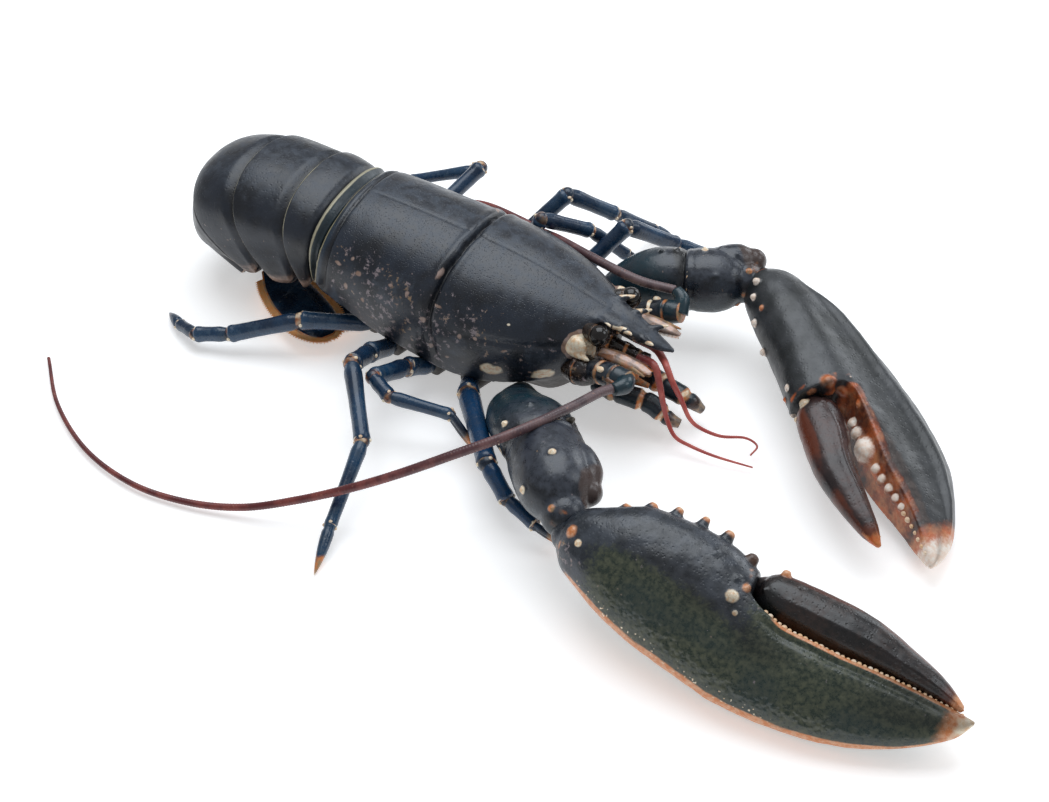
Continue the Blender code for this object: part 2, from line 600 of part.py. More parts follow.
def build():
    clear_scene()
    shell = make_material("blue_black_shell", (0.02, 0.026, 0.036), 0.35)
    leg_shell = make_material("blue_leg_shell", (0.02, 0.06, 0.13), 0.35)
    flesh = make_material("dark_underside", (0.05, 0.04, 0.035), 0.5)
    tooth = make_material("pale_tooth", (0.8, 0.6, 0.4), 0.4)
    eye = make_material("black_eye", (0.01, 0.01, 0.01), 0.1)
    red = make_material("red_antenna", (0.25, 0.05, 0.05), 0.4)
    build_carapace(shell)
    build_underside(flesh)
    build_tail(shell)
    build_fan(leg_shell)
    build_legs(leg_shell)
    for side in (RIGHT, LEFT):
        build_arm(side, shell)
        build_claw(side, shell, tooth)
    build_head(shell, eye, red)
    return centre_on_floor()


SHIFT = build()
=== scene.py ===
"""A whole European lobster, raw and blue-black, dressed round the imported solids.

Shapes are worked out in millimetres from x = 0 at the carapace's rear margin, with +X towards
the head, +Y towards the lobster's left and the floor at Z = 0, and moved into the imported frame.
"""

import math
from itertools import product

import bpy
import numpy as np
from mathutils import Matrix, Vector
from mathutils.bvhtree import BVHTree


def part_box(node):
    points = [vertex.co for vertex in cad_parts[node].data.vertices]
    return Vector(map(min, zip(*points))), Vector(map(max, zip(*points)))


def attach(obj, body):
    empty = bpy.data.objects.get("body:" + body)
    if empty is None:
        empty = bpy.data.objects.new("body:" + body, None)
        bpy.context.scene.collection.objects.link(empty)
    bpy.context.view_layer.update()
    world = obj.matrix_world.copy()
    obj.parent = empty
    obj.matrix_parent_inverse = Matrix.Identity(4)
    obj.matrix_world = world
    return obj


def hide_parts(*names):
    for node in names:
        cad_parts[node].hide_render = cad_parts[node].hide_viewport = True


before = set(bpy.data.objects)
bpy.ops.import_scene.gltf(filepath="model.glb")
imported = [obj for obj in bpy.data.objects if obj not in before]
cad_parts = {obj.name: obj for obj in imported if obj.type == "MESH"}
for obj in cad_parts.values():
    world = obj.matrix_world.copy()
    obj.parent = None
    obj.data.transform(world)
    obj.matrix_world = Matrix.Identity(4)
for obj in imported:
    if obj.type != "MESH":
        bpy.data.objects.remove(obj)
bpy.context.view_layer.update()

MM = 0.001
RIGHT, LEFT = -1, 1
SIDES = (RIGHT, LEFT)
SIDE_NAMES = {RIGHT: "right", LEFT: "left"}
EYE_PLACE = np.array((109.5, 12.4, 41.0))
EYE_RADIUS = 4.2
eye_low, eye_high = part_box("eye_left")
SHIFT = EYE_PLACE - (np.array(eye_low) + np.array(eye_high)) / 2 / MM

# The photograph's camera, in the same millimetres.
CAMERA = np.array((372.6, -523.2, 562.0))
LOOK = np.array((-0.3597, 0.623, -0.6947))
HALF_ANGLE = math.radians(14)
PHOTO_WIDE, PHOTO_TALL = 1049, 802


# Numbers and curves


def blend(at, xs, ys):
    """The value at `at` on a smooth curve through (xs, ys) that never overshoots its points."""
    xs, ys = np.asarray(xs, float), np.asarray(ys, float)
    steps = np.diff(ys) / np.diff(xs)
    before, after = steps[:-1], steps[1:]
    same_way = before * after > 0
    total = np.where(same_way, before + after, 1.0)
    inner = np.where(same_way, 2 * before * after / total, 0.0)
    slopes = np.concatenate([[steps[0]], inner, [steps[-1]]])
    at = np.clip(at, xs[0], xs[-1])
    i = np.clip(np.searchsorted(xs, at, side="right") - 1, 0, len(xs) - 2)
    width = xs[i + 1] - xs[i]
    t = (at - xs[i]) / width
    return (
        ys[i] * (1 + 2 * t) * (1 - t) ** 2
        + ys[i + 1] * t * t * (3 - 2 * t)
        + width * slopes[i] * t * (1 - t) ** 2
        - width * slopes[i + 1] * t * t * (1 - t)
    )


def unit(vector):
    return vector / np.linalg.norm(vector)


def rise(at, low, high):
    """0 below low, 1 above high, and smooth between; low may be the greater."""
    t = np.clip((at - low) / (high - low), 0, 1)
    return t * t * (3 - 2 * t)


def bell(at, width):
    return np.exp(-((at / width) ** 2))


def smooth_path(points, count):
    """Evenly spaced places on a smooth curve through the points."""
    points = np.asarray(points, float)
    ends = np.vstack([2 * points[0] - points[1], points, 2 * points[-1] - points[-2]])
    dense = []
    for p0, p1, p2, p3 in zip(ends, ends[1:], ends[2:], ends[3:]):
        for t in np.linspace(0, 1, 24, endpoint=False):
            dense.append(
                0.5 * (2 * p1 + (p2 - p0) * t + (2 * p0 - 5 * p1 + 4 * p2 - p3) * t**2
                       + (3 * p1 - 3 * p2 + p3 - p0) * t**3)
            )
    dense = np.array([*dense, points[-1]])
    walked = np.concatenate([[0], np.cumsum(np.linalg.norm(np.diff(dense, axis=0), axis=1))])
    at = np.linspace(0, walked[-1], count)
    return np.stack([np.interp(at, walked, dense[:, k]) for k in range(3)], axis=1)


def directions(path, up=(0, 0, 1)):
    """At each place of a path, the ways ahead, sideways and above, with no twist along it."""
    forward = np.array([unit(v) for v in np.gradient(path, axis=0)])
    side = np.cross(up, forward[0])
    sides = []
    for ahead in forward:
        side = unit(side - ahead * (side @ ahead))
        sides.append(side)
    sides = np.array(sides)
    return forward, sides, np.cross(forward, sides)


def hashed(i, j, k, seed):
    """A repeatable random number from 0 to 1 for whole numbers i, j and k."""
    h = (i * 374761393 + j * 668265263 + k * 974634777 + seed * 1274126177) & 0xFFFFFFFF
    h = ((h ^ (h >> 13)) * 1103515245) & 0xFFFFFFFF
    h = ((h ^ (h >> 15)) * 2246822519) & 0xFFFFFFFF
    return ((h >> 8) & 0xFFFF) / 65535.0


def noise(points, size, seed=0):
    """Smooth noise from -1 to 1, with swells about `size` mm across."""
    at = np.asarray(points, float) / size
    base = np.floor(at).astype(np.int64)
    t = at - base
    t = t * t * (3 - 2 * t)
    total = np.zeros(len(at))
    for corner in product((0, 1), repeat=3):
        weight = np.prod(np.where(corner, t, 1 - t), axis=1)
        total += weight * hashed(*(base + corner).T, seed)
    return total * 2 - 1


def rough_noise(points, size, seed=0):
    """Noise with finer noise on it, from -1 to 1."""
    return (
        0.55 * noise(points, size, seed)
        + 0.3 * noise(points, size * 0.47, seed + 1)
        + 0.15 * noise(points, size * 0.21, seed + 2)
    )


def cells(points, size, seed=0):
    """How far each place is from the nearest of many points scattered `size` mm apart, in sizes."""
    at = np.asarray(points, float) / size
    base = np.floor(at).astype(np.int64)
    best = np.full(len(at), 9.0)
    for step in product((-1, 0, 1), repeat=3):
        corner = base + step
        jitter = [hashed(*corner.T, seed + n) for n in range(3)]
        best = np.minimum(best, np.linalg.norm(at - corner - np.stack(jitter, 1), axis=1))
    return best


def share_along(points, start, end):
    """How far points are on the way from start to end, from 0 to 1."""
    return (points - start) @ unit(end - start) / np.linalg.norm(end - start)


# Shapes


def oval(centre, side, up, half_side, half_up, points, power=1.0, skew=0.0):
    """A ring round a centre; a power under 1 makes it squarer, and skew fattens one side."""
    turn = np.arange(points) * 2 * math.pi / points
    across = np.sign(np.cos(turn)) * np.abs(np.cos(turn)) ** power
    above = np.sign(np.sin(turn)) * np.abs(np.sin(turn)) ** power * (1 + skew * across)
    return centre + half_side * across[:, None] * side + half_up * above[:, None] * up


def lofted(rings):
    """Points and faces of one closed body over a row of rings."""
    rings = np.asarray(rings, float)
    rows, count = rings.shape[:2]
    points = np.vstack([rings.reshape(-1, 3), rings[0].mean(0), rings[-1].mean(0)])
    faces = []
    for r in range(rows - 1):
        a, b = r * count, (r + 1) * count
        faces += [(a + i, a + (i + 1) % count, b + (i + 1) % count, b + i) for i in range(count)]
    first, last = rows * count, rows * count + 1
    faces += [((i + 1) % count, i, first) for i in range(count)]
    a = (rows - 1) * count
    faces += [(a + i, a + (i + 1) % count, last) for i in range(count)]
    volume = 0.0
    centre = points.mean(0)
    for r in range(0, rows - 1):
        p, q = points[r * count:(r + 1) * count] - centre, points[(r + 1) * count:(r + 2) * count] - centre
        volume += np.einsum("ij,ij->", np.cross(p, np.roll(p, -1, 0)), np.roll(q, -1, 0))
    if volume < 0:
        faces = [face[::-1] for face in faces]
    return points, faces


def globe(place, radii, count=14, turn=None):
    """A ball or ellipsoid."""
    rings = []
    for angle in np.linspace(0.12, math.pi - 0.12, count // 2 + 1):
        ring = oval(np.zeros(3), np.array((1.0, 0, 0)), np.array((0, 1.0, 0)), 1, 1, count) * math.sin(angle)
        ring[:, 2] = math.cos(angle)
        rings.append(ring)
    points, faces = lofted(rings)
    points = points * radii
    if turn is not None:
        points = points @ np.asarray(turn)
    return points + place, faces


def cone(root, tip, radius, count=10, blunt=0.25):
    """A curved-sided thorn from its root to its tip."""
    root, tip = np.asarray(root, float), np.asarray(tip, float)
    shares = (0, 0.25, 0.5, 0.75, 0.92, 1)
    path = np.array([root + s * (tip - root) for s in shares])
    _, side, above = directions(path, up=(0.31, 0.22, 0.92))
    widths = [radius * (blunt + (1 - blunt) * (1 - s) ** 0.8) * (0.55 if s == 1 else 1) for s in shares]
    return lofted([oval(path[i], side[i], above[i], w, w, count) for i, w in enumerate(widths)])


def pipe(points, half_sides, half_ups, stations, count, up=(0, 0, 1)):
    """Oval rings on a smooth path, with their half widths and heights spread evenly along it."""
    path = smooth_path(points, stations)
    _, side, above = directions(path, up)
    at = np.linspace(0, 1, stations)
    wide = blend(at, np.linspace(0, 1, len(half_sides)), half_sides)
    tall = blend(at, np.linspace(0, 1, len(half_ups)), half_ups)
    return [oval(path[i], side[i], above[i], wide[i], tall[i], count) for i in range(stations)]


def swollen(rings, swell):
    """The rings grown round their middles by swell(s), where s goes from 0 to 1 along them."""
    grown = []
    for i, ring in enumerate(rings):
        middle = ring.mean(0)
        grown.append(middle + (ring - middle) * swell(i / (len(rings) - 1)))
    return grown


def spread(values, count):
    """One value or place a ring, given to each of its points and to the body's two ends."""
    values = np.asarray(values, float)
    return np.concatenate([np.repeat(values, count, axis=0), values[:1], values[-1:]])


class Shape:
    """Gathers closed bodies, in millimetres, with a value of each mark at every point."""

    def __init__(self):
        self.points, self.faces, self.marks, self.count = [], [], [], 0

    def add(self, body, **marks):
        points, faces = body
        self.points.append(points)
        self.faces += [tuple(i + self.count for i in face) for face in faces]
        self.marks.append({k: np.broadcast_to(v, len(points)) for k, v in marks.items()})
        self.count += len(points)
        return self

    def mark(self, name):
        return np.concatenate(
            [m.get(name, np.zeros(len(p))) for p, m in zip(self.points, self.marks)]
        )

    def all_points(self):
        return np.vstack(self.points)


def linked(name, data):
    made = bpy.data.objects.new(name, data)
    bpy.context.scene.collection.objects.link(made)
    return made


def mesh_of(name, points, faces):
    mesh = bpy.data.meshes.new(name)
    mesh.from_pydata(((points - SHIFT) * MM).tolist(), [], faces)
    mesh.update()
    return mesh


def fused(shape, voxel, smoothing=3):
    """The shape's overlapping bodies as one skin of even faces, as a mesh."""
    mesh = mesh_of("fused", shape.all_points(), shape.faces)
    helper = linked("fused", mesh)
    remesh = helper.modifiers.new("Remesh", "REMESH")
    remesh.mode = "VOXEL"
    remesh.voxel_size = voxel * MM
    smooth = helper.modifiers.new("Smooth", "SMOOTH")
    smooth.factor = 0.5
    smooth.iterations = smoothing
    graph = bpy.context.evaluated_depsgraph_get()
    result = bpy.data.meshes.new_from_object(helper.evaluated_get(graph))
    bpy.data.objects.remove(helper, do_unlink=True)
    bpy.data.meshes.remove(mesh)
    return result


def mesh_points(mesh):
    """A mesh's points, in millimetres, and its outward normals."""
    points = np.empty(len(mesh.vertices) * 3)
    mesh.vertices.foreach_get("co", points)
    normals = np.empty(len(mesh.vertices) * 3)
    mesh.vertex_normals.foreach_get("vector", normals)
    return points.reshape(-1, 3) / MM + SHIFT, normals.reshape(-1, 3)


def set_points(mesh, points):
    mesh.vertices.foreach_set("co", ((points - SHIFT) * MM).ravel())
    mesh.update()


def pushed(mesh, points, normals, offset):
    """Moves a mesh's points out along their normals, and returns where they are then."""
    points = points + normals * offset[:, None]
    set_points(mesh, points)
    return points


def finish_piece(name, mesh, material, slot, replaces, **marks):
    """Makes a piece of the mesh: its marks, its material, the body it rides on and what it replaces."""
    for key, values in marks.items():
        attribute = mesh.attributes.new(key, "FLOAT", "POINT")
        attribute.data.foreach_set("value", np.ascontiguousarray(np.clip(values, 0, 1), np.float32))
    mesh.name = name
    mesh.shade_smooth()
    mesh.materials.clear()
    mesh.materials.append(material)
    piece = linked(name, mesh)
    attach(piece, "root")
    if replaces:
        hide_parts(*replaces)


def piece_of(name, shape, material, slot, replaces, **marks):
    """A piece of a shape as it is, with the shape's own marks and any others."""
    names = sorted({key for m in shape.marks for key in m})
    values = {key: shape.mark(key) for key in names}
    values.update(marks)
    mesh = mesh_of(name, shape.all_points(), shape.faces)
    finish_piece(name, mesh, material, slot, replaces, **values)


# Places and marks read off the photo


def photo_ray(u, v):
    """The direction in which the camera sees a place of the photo."""
    ahead = unit(LOOK)
    right = unit(np.cross(ahead, (0, 0, 1)))
    above = np.cross(right, ahead)
    reach = PHOTO_WIDE / 2 / math.tan(HALF_ANGLE)
    return unit(ahead * reach + right * (u - PHOTO_WIDE / 2) - above * (v - PHOTO_TALL / 2))


def seat(mesh, places):
    """Where the camera sees each (u, v) of the photo on a mesh: points and normals, None if it misses."""
    points, _ = mesh_points(mesh)
    tree = BVHTree.FromPolygons(points.tolist(), [tuple(p.vertices) for p in mesh.polygons])
    found = []
    for u, v in places:
        hit, normal, _, _ = tree.ray_cast(Vector(CAMERA), Vector(photo_ray(u, v)))
        found.append(None if hit is None else (np.array(hit), np.array(normal)))
    return found


def seat_on(shape, places):
    """The same on a shape that is no mesh yet."""
    mesh = mesh_of("seat", shape.all_points(), shape.faces)
    found = seat(mesh, places)
    bpy.data.meshes.remove(mesh)
    return found


def add_bumps(shape, bumps, skin=None):
    """Adds knobs and thorns where the photo shows them on the skin, or else on the shape.

    The bumps are (u, v) in the photo, radius in mm, how far they stand out, and colour. It
    returns the place, radius and colour of each.
    """
    seated = []
    for hit, (_, _, radius, out, colour) in zip(seat_on(skin or shape, [b[:2] for b in bumps]), bumps):
        if hit is None:
            continue
        place, normal = hit
        shape.add(cone(place - normal * radius * 1.2, place + normal * out, radius, 12, 0.45))
        seated.append((place + normal * out * 0.75, radius, colour))
    return seated


def spot_marks(points, seated, reach=0.837):
    """Marks that colour the seated bumps, out to somewhat over `reach` of each one's radius."""
    marks = {name: np.zeros(len(points)) for name in ("pale", "warm", "edge")}
    for place, radius, colour in seated:
        if colour:
            away = np.linalg.norm(points - place, axis=1)
            marks[colour] = np.maximum(marks[colour], 1.2 - 0.65 * away / (radius * reach))
    return marks


def lift(marks, **values):
    """Raises each named mark to the greatest of what it is and the value or values given for it."""
    for name, given in values.items():
        given = given if isinstance(given, tuple) else (given,)
        marks[name] = np.maximum.reduce([marks.get(name, np.zeros(len(given[0]))), *given])


# Materials


def node(tree, kind, sockets=(), **settings):
    made = tree.nodes.new("ShaderNode" + kind)
    for key, value in settings.items():
        setattr(made, key, value)
    for key, value in dict(sockets).items():
        if isinstance(value, bpy.types.NodeSocket):
            tree.links.new(value, made.inputs[key])
        else:
            made.inputs[key].default_value = value
    return made


def maths(tree, a, b, operation="ADD"):
    return node(tree, "Math", {0: a, 1: b}, operation=operation).outputs[0]


def step_of(tree, value, low, high, to_low=0.0, to_high=1.0):
    """A smooth step of a socket, from to_low at low to to_high at high."""
    sockets = {"Value": value, "From Min": low, "From Max": high, "To Min": to_low, "To Max": to_high}
    return node(tree, "MapRange", sockets, interpolation_type="SMOOTHSTEP").outputs[0]


def mixed(tree, share, a, b):
    """A colour from a at share 0 to b at share 1, each a socket or three numbers."""
    a, b = (colour if hasattr(colour, "links") else (*colour, 1) for colour in (a, b))
    return node(tree, "Mix", {0: share, 6: a, 7: b}, data_type="RGBA").outputs[2]


def noise_of(tree, where, size, detail=3.0, roughness=0.55):
    sockets = {"Vector": where, "Scale": 1 / (size * MM), "Detail": detail, "Roughness": roughness}
    return node(tree, "TexNoise", sockets).outputs["Fac"]


def cells_of(tree, where, size):
    return node(tree, "TexVoronoi", {"Vector": where, "Scale": 1 / (size * MM)}).outputs["Distance"]


def mark_of(tree, name):
    return node(tree, "Attribute", attribute_name=name).outputs["Fac"]


def start_material(name):
    """A new material, its node tree, and the object's own coordinates in it."""
    material = bpy.data.materials.new(name)
    material.use_nodes = True
    tree = material.node_tree
    return material, tree, node(tree, "TexCoord").outputs["Object"]


def link_shader(tree, colour, roughness, height, depth, strength):
    """Links a material's colour and roughness, and a bump `depth` mm deep, and returns its shader."""
    shader = tree.nodes["Principled BSDF"]
    bump = node(tree, "Bump", {"Height": height, "Distance": depth * MM, "Strength": strength})
    tree.links.new(colour, shader.inputs["Base Color"])
    tree.links.new(roughness, shader.inputs["Roughness"])
    tree.links.new(bump.outputs[0], shader.inputs["Normal"])
    return shader


CREAM, PALE_ORANGE = (0.92, 0.82, 0.64), (0.80, 0.52, 0.30)
ORANGE, TAN = (0.60, 0.20, 0.06), (0.34, 0.22, 0.12)
PINK_GREY, BLUE = (0.29, 0.24, 0.26), (0.014, 0.052, 0.100)
NEAR_BLACK = (0.003, 0.003, 0.004)


def shell_material(name, deep, mid, second, second_mid, warm=(ORANGE, TAN), cream=(CREAM, PALE_ORANGE),
                   edge=TAN, blue=BLUE, patch=14, gloss=(0.22, 0.40), pits=1.4, pit_depth=0.12):
    """Horny shell: two mottled colours, flecks, cream spots and painted glints, warm edges, painted shade in
    grooves and seams, fine pits and uneven gloss.
    """
    material, tree, where = start_material(name)
    broad = noise_of(tree, where, patch, 4.0)
    medium = noise_of(tree, where, patch * 0.31, 4.0, 0.65)
    fine = noise_of(tree, where, 1.6, 3.0, 0.6)

    def times(a, b):
        return maths(tree, a, b, "MULTIPLY")

    def shown(mark, unevenness, low, high):
        return step_of(tree, maths(tree, mark_of(tree, mark), unevenness), low, high)

    colour = mixed(tree, step_of(tree, broad, 0.38, 0.64), deep, mid)
    other = mixed(tree, step_of(tree, medium, 0.34, 0.68), second, second_mid)
    colour = mixed(tree, shown("tone", maths(tree, medium, 0.5, "SUBTRACT"), 0.25, 0.75), colour, other)
    colour = mixed(tree, mark_of(tree, "blue"), colour, mixed(tree, medium, blue, deep))

    flecks = maths(tree, noise_of(tree, where, 2.6, 5.0, 0.70), times(mark_of(tree, "fleck"), 0.17))
    fleck_colour = mixed(tree, step_of(tree, broad, 0.50, 0.66), PINK_GREY, TAN)
    colour = mixed(tree, step_of(tree, flecks, 0.715, 0.79, 0.0, 0.8), colour, fleck_colour)

    jitter = times(maths(tree, fine, 0.5, "SUBTRACT"), 0.30)
    colour = mixed(tree, shown("edge", jitter, 0.35, 0.7), colour, edge)
    warm_colour = mixed(tree, step_of(tree, medium, 0.40, 0.60), *warm)
    colour = mixed(tree, shown("warm", jitter, 0.32, 0.74), colour, warm_colour)
    pale_colour = mixed(tree, step_of(tree, fine, 0.40, 0.68), *cream)
    colour = mixed(tree, shown("pale", jitter, 0.38, 0.66), colour, pale_colour)
    # Towards near black by the dark mark: where it lies in grooves, seams, sockets and gaps between parts,
    # this is painted shade.
    colour = mixed(tree, mark_of(tree, "dark"), colour, NEAR_BLACK)

    bumps = maths(tree, step_of(tree, cells_of(tree, where, pits), 0.05, 0.42), times(fine, 0.22))
    beads = step_of(tree, cells_of(tree, where, 2.1), 0.50, 0.12)
    bumps = maths(tree, bumps, times(times(beads, 3.2), mark_of(tree, "rough")))
    dull = step_of(tree, medium, 0.30, 0.72, *gloss)
    shader = link_shader(tree, colour, dull, bumps, pit_depth, 0.9)
    shader.inputs["IOR"].default_value = 1.54
    return material


def eye_material():
    material, tree, where = start_material("eye_black")
    speck = cells_of(tree, where, 0.25)
    colour = mixed(tree, noise_of(tree, where, 2.0), (0.004, 0.004, 0.005), (0.018, 0.014, 0.012))
    link_shader(tree, colour, step_of(tree, speck, 0.1, 0.8, 0.06, 0.16), speck, 0.02, 0.4)
    return material


def tooth_material():
    material, tree, where = start_material("tooth")
    share = step_of(tree, maths(tree, noise_of(tree, where, 3.0), mark_of(tree, "pale")), 0.7, 1.4)
    colour = mixed(tree, share, PALE_ORANGE, (0.84, 0.72, 0.58))
    dull = step_of(tree, noise_of(tree, where, 1.0), 0.3, 0.7, 0.25, 0.42)
    link_shader(tree, colour, dull, noise_of(tree, where, 0.8), 0.06, 0.6)
    return material


def whip_material(name, near, near_light, far, far_light):
    """An antenna's shell, from the two near colours at its root to the two far ones."""
    material, tree, where = start_material(name)
    broad = noise_of(tree, where, 7.0, 3.0)
    fine = noise_of(tree, where, 1.2, 2.0)
    root = mixed(tree, step_of(tree, broad, 0.4, 0.6), near, near_light)
    red = mixed(tree, step_of(tree, broad, 0.4, 0.62), far, far_light)
    colour = mixed(tree, mark_of(tree, "tone"), root, red)
    colour = mixed(tree, step_of(tree, fine, 0.62, 0.75, 0, 0.35), colour, (0.55, 0.28, 0.18))
    link_shader(tree, colour, step_of(tree, broad, 0.3, 0.7, 0.28, 0.45), fine, 0.05, 0.6)
    return material


# Carapace

# At each x: the crest's height, the half width, the height where it is widest, and its lower edge.
CARAPACE_X = (-3.2, -1, 3, 12, 25, 40, 52, 64, 75, 86, 95, 102, 107)
CARAPACE_TOP = (56.4, 57.6, 58.2, 58.5, 58, 57, 56.2, 55.2, 53.4, 50.6, 48, 46, 44.5)
CARAPACE_HALF = (29.3, 30, 30.6, 31.8, 33, 34, 34, 33, 31, 27.5, 23, 18.5, 14)
CARAPACE_WIDEST = (38, 37, 36, 33, 30, 28, 28, 28, 28, 28.5, 29.5, 31, 33.5)
CARAPACE_EDGE = (29, 27, 25, 21.5, 18, 15.5, 13.5, 12.8, 13.8, 16, 19, 22.5, 27)
CARAPACE_EDGE_HALF = (28.5, 29, 29.5, 30.5, 31.5, 32, 32, 30.5, 28, 24, 19.5, 15, 11.5)
REAR_FLARE, FLARE_FROM, FLARE_OVER = 4, 9, 12.2
TURN_SHARE = 0.74
ROSTRUM_X = (98, 106, 114, 122, 129, 134.5)
ROSTRUM_HALF = (10, 8.4, 6.4, 4.6, 2.8, 0.7)
ROSTRUM_TOP = (46.4, 45.2, 43.4, 40.6, 37.6, 35.4)
ROSTRUM_THICK = 5.5
ROSTRUM_TEETH = ((108, 8.0), (116, 6.2), (124, 4.4))

# Spots of the right flank, as (u, v) in the photo, half length and half height in mm, and colour.
CARAPACE_SPOTS = (
    (491, 369, 4.6, 3.0, "pale"), (544, 374, 6.0, 3.0, "pale"), (509, 326, 0.7, 0.7, "pale"),
    (440, 273, 0.9, 2.4, "warm"), (423, 319, 1.5, 0.9, "warm"), (407, 294, 1.0, 1.2, "warm"),
    (358, 274, 1.4, 1.1, "warm"), (475, 340, 1.5, 0.5, "warm"), (504, 351, 1.7, 0.5, "warm"),
    (459, 336, 1.1, 0.8, "warm"), (338, 263, 1.2, 0.7, "warm"), (382, 269, 0.6, 0.6, "warm"),
    (396, 304, 1.2, 0.7, "warm"), (372, 317, 1.3, 0.8, "warm"), (345, 286, 1.0, 1.4, "warm"),
    (447, 357, 1.4, 0.8, "warm"), (521, 360, 1.5, 0.5, "warm"), (530, 372, 1.1, 0.6, "warm"),
    (412, 340, 1.0, 0.7, "warm"), (362, 300, 1.0, 1.4, "warm"), (390, 285, 0.7, 0.9, "warm"),
    (431, 345, 1.3, 0.8, "warm"), (352, 258, 0.7, 0.9, "warm"), (437, 306, 1.6, 0.6, "warm"),
)
# The cream knob behind the eye, in the photo.
CHEEK_KNOB = (578, 347)


def carapace_sizes(x):
    """Crest, half width, widest height, edge height and edge half width at x."""
    tables = (CARAPACE_TOP, CARAPACE_HALF, CARAPACE_WIDEST, CARAPACE_EDGE, CARAPACE_EDGE_HALF)
    return [blend(x, CARAPACE_X, table) for table in tables]


def carapace_ring(x, across=97, under=9):
    top, half, widest, edge, edge_half = carapace_sizes(x)
    u = np.linspace(-1, 1, across)
    share = np.abs(u)
    angle = np.clip(share / TURN_SHARE, 0, 1) * math.pi / 2
    drop = np.clip((share - TURN_SHARE) / (1 - TURN_SHARE), 0, 1)
    y = half * np.sin(angle) ** 0.92 + (edge_half - half) * drop**1.6
    z = widest + (top - widest) * np.abs(np.cos(angle)) ** 0.96 + (edge - widest) * drop
    flare = REAR_FLARE * float(np.clip((FLARE_FROM - x) / FLARE_OVER, 0, 1))
    over = np.stack([x - flare * share**2.5, np.sign(u) * y, z], 1)
    v = np.linspace(1, -1, under + 2)[1:-1]
    beneath = np.stack([np.full(under, x - flare), v * edge_half * 0.9, edge + 1.5 * (1 - v * v)], 1)
    return np.vstack([over, beneath])


def groove_line(share):
    return 50 - 5.5 * share + 24 * np.clip(share - 0.45, 0, 1) ** 1.6


def carapace_place(points):
    """How far a point is from the rear margin, and its share of the way down from the crest."""
    x = points[:, 0]
    top, half, widest, edge, _ = carapace_sizes(x)
    y, z = np.abs(points[:, 1]), points[:, 2]
    angle = np.arctan2(y / half, np.maximum(z - widest, 1e-6) / (top - widest))
    down = TURN_SHARE + (1 - TURN_SHARE) * (widest - z) / (widest - edge)
    share = np.clip(np.where(z > widest, TURN_SHARE * angle / (math.pi / 2), down), 0, 1.1)
    flare = REAR_FLARE * np.clip((FLARE_FROM - x) / FLARE_OVER, 0, 1)
    return x + flare * share**2.5, share


def rostrum_ring(x, count=28):
    half, top = float(blend(x, ROSTRUM_X, ROSTRUM_HALF)), float(blend(x, ROSTRUM_X, ROSTRUM_TOP))
    thick = ROSTRUM_THICK * min(1, half / 4)
    turn = np.arange(count) * 2 * math.pi / count
    lift = np.where(np.sin(turn) > 0, 0.35, 0.65) * np.sin(turn) - 0.35
    y = half * np.cos(turn)
    trough = 0.9 * min(1, half / 5) * bell(y, half * 0.42) * (np.sin(turn) > 0)
    return np.stack([np.full(count, x), y, top + lift * thick - trough], 1)


